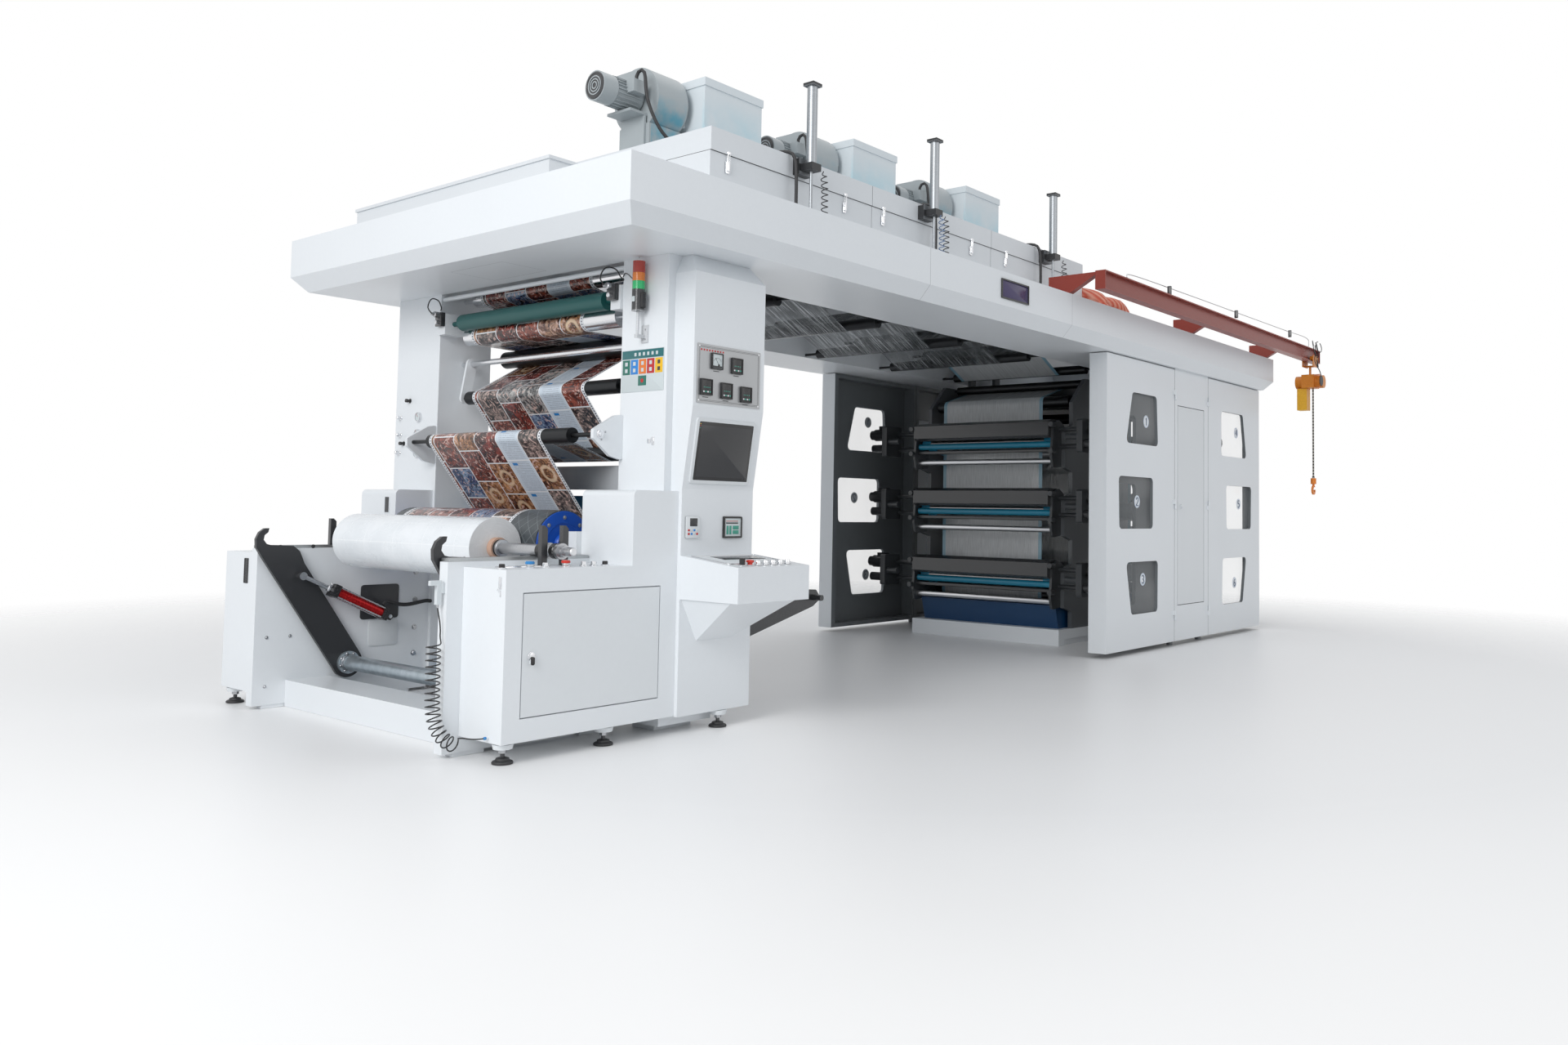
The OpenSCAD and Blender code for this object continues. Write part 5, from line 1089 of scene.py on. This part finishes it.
    slope = unit((0, 0.4417, 0.048))
    up_desk = np.cross(X, slope)
    mid = np.array((-6.3625, -1.6313, 0.949))
    desk = Piece("desk_panel")
    desk.add(frame_plate(mid + slope * 0.035 + up_desk * 0.0004, X, slope, 0.500, 0.300, 0.010, 0.004, 0.012), "alu")
    desk.add(plate(mid + slope * 0.035 + up_desk * 0.0004, X, slope, 0.482, 0.282, 0.0015, 0.006), "light")
    desk.add(plate(mid + slope * 0.090 + np.array(X) * 0.030 + up_desk * 0.0019, X, slope, 0.330, 0.120, 0.0010, 0.004), "glass_dark")
    for k in range(7):
        x = CONSOLE_FRONT + 0.090 + 0.060 * k
        at = (x, -1.792, 0.9318)
        desk.add(turned(at, Z, [(0, 0.0), (0, 0.0225), (0.0035, 0.0225), (0.005, 0.0195), (0.005, 0.0)], 24), "chrome")
        if k == 0:
            desk.add(turned(at, Z, [(0.005, 0.0), (0.005, 0.0155), (0.036, 0.0165), (0.040, 0.013), (0.040, 0.0)], 8), "black_gloss")
        elif k == 1:
            desk.add(turned(at, Z, [(0.005, 0.0), (0.005, 0.0135), (0.014, 0.0135), (0.017, 0.0215), (0.025, 0.0225), (0.0295, 0.018),
                                    (0.031, 0.0)], 28), "signal_red")
        else:
            desk.add(turned(at, Z, [(0.005, 0.0), (0.005, 0.0145), (0.020, 0.0145), (0.0245, 0.0125), (0.026, 0.0)], 20), "chrome")
    desk.make(30, "controls")


def make_column():
    """Status board, lamp cable, latches, gauges and knobs on the two columns."""
    board = Piece("status_board")
    y0, y1, z0, z1 = -1.297, -0.944, 1.886, 2.126
    w, h, mid = y1 - y0, z1 - z0, (y0 + y1) / 2
    x = TOWER - 0.0003
    board.add(plate((x, mid, (z0 + z1) / 2), *FRONT, w, h, 0.003, 0.003), "board")
    board.add(plate((x - 0.003, mid, z1 - 0.027), *FRONT, w - 0.006, 0.048, 0.0006, 0.002), "teal_print")
    for k in range(6):
        board.add(plate((x - 0.0036, y1 - 0.115 - 0.036 * k, z1 - 0.027), *FRONT, 0.018, 0.020, 0.0004, 0.002), "board")
    for k, key in enumerate(("green_print", "blue_print", "orange_print", "red_print", "yellow_print")):
        at = (x - 0.003, y1 - 0.040 - 0.0683 * k, z1 - 0.098)
        board.add(plate(at, *FRONT, 0.062, 0.084, 0.0008, 0.002), key)
        for j in (-1, 1):
            board.add(plate((at[0] - 0.0008, at[1], at[2] + 0.019 * j), *FRONT, 0.022, 0.022, 0.0004, 0.002),
                      "ink" if k == 4 else "board")
    board.add(plate((x - 0.003, mid, z0 + 0.062), *FRONT, 0.068, 0.056, 0.0012, 0.002), "green_print")
    board.add(turned((x - 0.0042, mid, z0 + 0.062), (-1, 0, 0), [(0, 0.0), (0, 0.012), (0.001, 0.011), (0.001, 0.0)], 20), "red_print")
    board.make(30, "towers")

    lamp = Piece("lamp_cable")
    lamp.add(tube(smooth_line([(-6.748, -1.122, 2.640), (-6.748, -1.122, 2.6405), (-6.748, -1.122, 2.641)], 0.001), 0.004, 6), "black")
    lamp.add(tube(smooth_line([(-6.748, -1.086, 2.520), (-6.745, -1.060, 2.530), (-6.730, -1.010, 2.560), (-6.712, -0.960, 2.575),
                               (-6.700, -0.930, 2.560)], 0.02), 0.003, 8), "black")
    lamp.add(plate((-6.7845, -1.122, 2.400), *FRONT, 0.026, 0.030, 0.002, 0.002), "board")
    lamp.add(plate((-6.748, -1.1585, 2.395), *NEAR, 0.030, 0.090, 0.010, 0.006), "black_gloss")
    for z in (2.180, 2.235):
        for s in bolt((-6.7063, -1.140, z), (-1, 0, 0), 0.003, 0.003):
            lamp.add(s, "steel")
    lamp.make(30, "stack_light")

    latch = Piece("column_latches")
    for y, z in ((-1.222, 1.605),):
        at = np.array((TOWER - 0.0003, y, z))
        latch.add(plate(at, *FRONT, 0.020, 0.046, 0.003, 0.003), "chrome")
        latch.add(plate(at + [-0.003, 0, 0.004], *FRONT, 0.012, 0.034, 0.009, 0.004), "chrome")
        latch.add(plate(at + [0, 0.034, 0], *FRONT, 0.024, 0.024, 0.004, 0.004), "chrome")
    latch.make(30, "towers")

    gauges = Piece("column_gauges")
    for y, z, r in ((1.157, 1.827, 0.033), (1.162, 1.711, 0.033), (1.163, 1.582, 0.033)):
        at = (x, y, z)
        gauges.add(turned(at, (-1, 0, 0), [(0, 0.0), (0, r), (0.014, r), (0.018, r * 0.96), (0.018, r * 0.86), (0.012, r * 0.84), (0.012, 0.0)], 36), "chrome")
        gauges.add(turned((x - 0.0121, y, z), (-1, 0, 0), [(0, 0.0), (0, r * 0.83), (0.0008, r * 0.82), (0.0008, 0.0)], 36), "board")
        gauges.add(tube([(x - 0.014, y, z), (x - 0.014, y + r * 0.3, z + r * 0.3), (x - 0.014, y + r * 0.6, z + r * 0.55)], 0.0008, 6), "red_print")
    for y, z in ((1.279, 1.943), (1.385, 1.829), (1.383, 1.710), (1.391, 1.587), (1.341, 1.649)):
        gauges.add(turned((x, y, z), (-1, 0, 0), [(0, 0.0), (0, 0.016), (0.003, 0.016), (0.004, 0.009), (0.016, 0.009), (0.018, 0.013),
                                                  (0.034, 0.0125), (0.036, 0.010), (0.036, 0.0)], 24), "black_gloss" if y < 1.36 else "chrome")
    gauges.make(30, "towers")

    block = Piece("nip_air_valves")
    for way in (-1, 1):
        block.add(plate((-6.722, way * 0.885, 2.47), *FRONT, 0.070, 0.095, 0.030, 0.006), "dark")
        block.add(turned((-6.752, way * 0.885, 2.50), (-1, 0, 0), [(0, 0.0), (0, 0.020), (0.030, 0.020), (0.034, 0.012), (0.050, 0.010),
                                                                 (0.050, 0.0)], 20), "steel")
        block.add(turned((-6.752, way * 0.885, 2.45), (-1, 0, 0), [(0, 0.0), (0, 0.014), (0.020, 0.014), (0.022, 0.008), (0.022, 0.0)], 16), "alu")
        block.add(tube(smooth_line([(-6.80, way * 0.885, 2.50), (-6.83, way * 0.885, 2.54), (-6.80, way * 0.895, 2.60),
                                    (-6.74, way * 0.910, 2.60), (-6.71, way * 0.920, 2.56), (-6.7003, way * 0.940, 2.54)], 0.012), 0.004, 8), "black")
    block.make(30, "roller_brackets")
    caps = Piece("roller_end_caps")
    for way in (-1, 1):
        caps.add(turned((-6.866, way * 0.9655, 1.640), (0, way, 0), [(-0.001, 0.0), (-0.001, 0.024), (0.004, 0.024), (0.006, 0.018),
                                                                     (0.016, 0.016), (0.018, 0.0)], 28), "chrome")
        for a in (0.5, 2.6, 4.7):
            for s in bolt((-6.866 + 0.030 * math.cos(a) + 0.012, way * 0.9655, 1.640 + 0.030 * math.sin(a)), (0, way, 0), 0.0035, 0.004):
                caps.add(s, "steel")
    caps.make(30, "roller_brackets")


# Press, canopy and hoist


def disc_figure(n):
    """Strokes of the figure n, as lines of (u, v) in a box 0.6 by 1."""
    arcs = {
        1: [[(-0.14, 0.30), (0.02, 0.48), (0.02, -0.48)]],
        2: [[(-0.27, 0.24), (-0.22, 0.40), (-0.06, 0.49), (0.12, 0.47), (0.25, 0.34), (0.25, 0.16), (0.12, -0.06),
             (-0.12, -0.28), (-0.27, -0.46), (0.28, -0.46)]],
        3: [[(-0.26, 0.36), (-0.12, 0.48), (0.10, 0.48), (0.24, 0.34), (0.22, 0.14), (0.04, 0.03), (-0.08, 0.03)],
            [(0.04, 0.03), (0.24, -0.10), (0.28, -0.28), (0.14, -0.46), (-0.10, -0.48), (-0.28, -0.34)]],
        4: [[(0.14, -0.48), (0.14, 0.48), (-0.28, -0.16), (0.30, -0.16)]],
        5: [[(0.24, 0.47), (-0.20, 0.47), (-0.24, 0.04), (-0.06, 0.12), (0.14, 0.10), (0.27, -0.06), (0.27, -0.26),
             (0.12, -0.45), (-0.10, -0.48), (-0.27, -0.36)]],
        6: [[(0.20, 0.46), (-0.04, 0.38), (-0.22, 0.14), (-0.27, -0.18), (-0.18, -0.42), (0.02, -0.49), (0.22, -0.38),
             (0.27, -0.18), (0.16, 0.02), (-0.04, 0.05), (-0.24, -0.12)]],
    }
    return arcs[n]


def make_discs():
    """Number discs on the window panes that the photograph shows: white discs with blue plain figures."""
    places = (
        ("door_front_near", -1, ((1, -1.018, 2.098), (2, -1.205, 1.358), (3, -1.079, 0.652))),
        ("door_rear_near", -1, ((4, 1.259, 2.135), (5, 1.329, 1.372), (6, 1.206, 0.536))),
        ("door_front_far", 1, ((1, -1.142, 2.191), (2, -1.363, 1.374), (3, -1.144, 0.552))),
    )
    for body, way, marks in places:
        piece = Piece("discs_" + body, body)
        right = np.array((-way, 0.0, 0.0))
        out = np.array((0.0, way, 0.0))
        for n, x, z in marks:
            at = np.array((x, way * PANE, z)) + out * 0.0003
            piece.add(turned(at, out, [(0, 0.0), (0, 0.058), (0.0008, 0.058), (0.0010, 0.057), (0.0010, 0.0)], 40), "white")
            piece.add(turned(at + out * 0.001, out, [(0, 0.0535), (0.0003, 0.0535), (0.0003, 0.0515), (0, 0.0515), (0, 0.0535)], 40), "blue_print")
            for stroke in disc_figure(n):
                line = np.array([at + out * 0.0014 + right * 0.074 * u + np.array(Z) * 0.074 * v for u, v in stroke])
                piece.add(tube(smooth_line(line, 0.004) if len(line) > 4 else line, 0.0042, 6), "deep_blue")
        piece.make(30, body)


def make_canopy():
    """Display on the fascia, toggle latches of the hoods, air coils at the hood cylinders, handles on the filter boxes
    and the blowers' fan grilles.
    """
    y = -(CANOPY + 0.0003)
    x, z = -3.6585, 2.870
    display = Piece("fascia_display")
    display.add(frame_plate((x, y, z), *NEAR, 0.392, 0.146, 0.012, 0.010, 0.006), "black_gloss")
    display.add(plate((x, y, z), *NEAR, 0.372, 0.126, 0.003, 0.003), "display")
    display.make(30, "canopy")
    latches = Piece("hood_latches")
    for x in (-6.294, -5.205, -4.785, -3.669, -3.166):
        at = np.array((x, -(HOOD_SIDE + 0.0003), 3.225))
        latches.add(plate(at, *NEAR, 0.030, 0.070, 0.003, 0.004), "chrome")
        latches.add(plate(at + [0, -0.003, 0.006], *NEAR, 0.020, 0.056, 0.010, 0.005), "chrome")
        latches.add(tube([at + [-0.008, -0.010, 0.030], at + [-0.008, -0.012, 0.075], at + [0.008, -0.012, 0.075],
                          at + [0.008, -0.010, 0.030]], 0.0022, 8), "chrome")
        latches.add(plate(at + [0, 0, 0.084], *NEAR, 0.030, 0.016, 0.014, 0.003), "chrome")
    latches.make(30, "hoods")
    coils = Piece("hood_air_coils")
    for x, key in ((-5.640, "black"), (-4.290, "black"), (-4.345, "clear_hose"), (-2.545, "black")):
        line = smooth_line([(x, -1.532, 3.330), (x + 0.010, -1.536, 3.24), (x + 0.020, -1.530, 3.12), (x + 0.026, -1.520, 2.998)], 0.004)
        coils.add(tube(coil(line, 0.020, 9), 0.0032, 8), key)
    coils.make(60, "hood_cylinders")
    handles = Piece("filter_handles")
    for k in range(3):
        x = HOOD_FRONT + HOOD_LEN * k
        for dx in (0.610, 0.860):
            at = np.array((x + dx, -0.8003, 3.640))
            handles.add(tube(smooth_line([at + [-0.055, 0.001, 0], at + [-0.055, -0.022, 0], at + [-0.045, -0.030, 0],
                                          at + [0.045, -0.030, 0], at + [0.055, -0.022, 0], at + [0.055, 0.001, 0]], 0.006), 0.0055, 10), "black")
        grille = ((x - 0.1703, -0.500, HOOD_TOP + 0.370))
        handles.add(turned(grille, (-1, 0, 0), [(0, 0.0), (0, 0.086), (0.004, 0.083), (0.006, 0.076), (0.002, 0.072), (0.002, 0.0)], 40), "dark")
        for r in (0.024, 0.042, 0.060):
            handles.add(turned((x - 0.1723, -0.500, HOOD_TOP + 0.370), (-1, 0, 0), [(0, r), (0.003, r), (0.003, r - 0.007), (0, r - 0.007), (0, r)], 36), "fan")
    handles.make(30, "filter_boxes")


def make_hoist():
    """Tie wire of the hoist beam with its clips, cable bundle and motor fins."""
    wire = Piece("beam_cable")
    y = -1.932
    line = smooth_line([(-2.200, y, 3.165), (-1.2, y, 3.190), (-0.2, y, 3.170), (0.6, y, 3.195), (1.5, y, 3.172), (2.400, y, 3.190)], 0.06)
    wire.add(tube(line, 0.006, 8), "black")
    line = smooth_line([(-2.250, -1.980, 3.1605), (-2.210, -1.980, 3.215), (-1.0, -1.980, 3.236), (0.4, -1.980, 3.250), (1.6, -1.980, 3.262),
                        (2.380, -1.980, 3.268), (2.420, -1.980, 3.1605)], 0.05)
    wire.add(tube(line, 0.004, 8), "steel")
    for x, z in ((-1.5, 3.227), (0.1, 3.247), (1.7, 3.263)):
        wire.add(plate((x, -1.994, z - 0.030), *NEAR, 0.030, 0.075, 0.028, 0.006), "dark")
    for x in (-2.0, -1.1, -0.3, 0.5, 1.3, 2.1):
        wire.add(plate((x, -1.9242, 3.166), (-1, 0, 0), Z, 0.020, 0.030, 0.012, 0.003), "black_gloss")
    wire.make(30, "hoist_beam")
    loops = Piece("hoist_cables", "hoist")
    x, y, z = HOIST
    for k, (r, dx, dz, turn) in enumerate(((0.070, -0.02, 0.19, 0.3), (0.085, 0.05, 0.16, 1.4), (0.060, 0.09, 0.20, 2.3), (0.075, -0.01, 0.03, 0.9))):
        a = np.linspace(0, 1.8 * np.pi, 30) + turn
        ring = np.stack([x + dx + r * np.cos(a) * math.cos(turn), y - 0.075 - 0.012 * k + 0.02 * np.sin(a + 1),
                         z - 0.035 + dz + r * np.sin(a)], -1)
        loops.add(tube(ring, 0.0045, 8), "black")
    loops.add(tube(smooth_line([(x + 0.03, y - 0.080, z + 0.10), (x - 0.05, y - 0.10, z - 0.02), (x - 0.02, y - 0.14, z - 0.12),
                                (x + 0.02, y - 0.151, z - 0.20)], 0.02), 0.005, 8), "black")
    loops.make(50, "hoist")
    fins = Piece("hoist_motor_fins", "hoist")
    for k in range(7):
        fins.add(turned((x, y - 0.085 - 0.0095 * k, z - 0.230), Y, [(0, 0.0722), (0, 0.0765), (0.003, 0.0765), (0.003, 0.0722), (0, 0.0722)], 32), "orange")
    fins.add(turned((x, y - 0.1503, z - 0.230), (0, -1, 0), [(0, 0.0), (0, 0.062), (0.006, 0.056), (0.008, 0.0)], 32), "black")
    fins.make(30, "hoist")


# Light


def make_light():
    """White sky, a broad key from the winder end, a fill from the near side and a pale floor that fades out."""
    world = bpy.data.worlds.new("sky")
    bpy.context.scene.world = world
    world.use_nodes = True
    nodes, links = world.node_tree.nodes, world.node_tree.links
    nodes.clear()
    out = nodes.new("ShaderNodeOutputWorld")
    mix = nodes.new("ShaderNodeMixShader")
    seen, sky = nodes.new("ShaderNodeBackground"), nodes.new("ShaderNodeBackground")
    seen.inputs[0].default_value, seen.inputs[1].default_value = (1, 1, 1, 1), 1.0
    sky.inputs[0].default_value, sky.inputs[1].default_value = (0.93, 0.96, 1.0, 1), 0.54
    path = nodes.new("ShaderNodeLightPath")
    fac = path.outputs["Is Camera Ray"]
    for kind in ("Is Glossy Ray", "Is Transmission Ray"):
        add = nodes.new("ShaderNodeMath")
        add.operation = "MAXIMUM"
        links.new(fac, add.inputs[0])
        links.new(path.outputs[kind], add.inputs[1])
        fac = add.outputs[0]
    links.new(fac, mix.inputs[0])
    links.new(sky.outputs[0], mix.inputs[1])
    links.new(seen.outputs[0], mix.inputs[2])
    links.new(mix.outputs[0], out.inputs[0])
    for name, at, aim, size, power in (
        ("key", (-16, -3.5, 6.0), (-5, 0, 1.2), 6.0, 640),
        ("fill", (-2, -12, 6.0), (-2, 0, 1.0), 8.0, 120),
        ("top", (-3, 0, 12), (-3, 0, 3), 9.0, 130),
    ):
        data = bpy.data.lights.new(name, "AREA")
        data.shape, data.size, data.energy = "DISK", size, power
        lamp = bpy.data.objects.new(name, data)
        lamp.location = at
        lamp.rotation_mode = "QUATERNION"
        lamp.rotation_quaternion = (Vector(aim) - Vector(at)).to_track_quat("-Z", "Y")
        bpy.context.collection.objects.link(lamp)
    mesh = bpy.data.meshes.new("floor")
    mesh.from_pydata([(-60, -60, -0.001), (60, -60, -0.001), (60, 60, -0.001), (-60, 60, -0.001)], [], [(0, 1, 2, 3)])
    floor = bpy.data.objects.new("floor", mesh)
    bpy.context.collection.objects.link(floor)
    m = Mat("floor")
    cloud = m.noise(0.6, 2.0)
    dx = m.x + 2.8
    far = (dx * dx + m.y * m.y).op("SQRT")
    fade = (1.0 - (far - 5.5) / 5.0).op("MAXIMUM", 0.0).op("MINIMUM", 1.0)
    mesh.materials.append(m.done(m.mix((0.92, 0.92, 0.92), (0.95, 0.95, 0.95), cloud), cloud * 0.1 + 0.35, Alpha=fade))
    bpy.context.scene.view_settings.view_transform = "Standard"


make_camera()
MATS = make_materials()
dress()
make_air_hose()
make_motor_leads()
make_tower_film()
make_winder()
make_cabinets()
make_console()
make_column()
make_discs()
make_canopy()
make_hoist()
make_light()
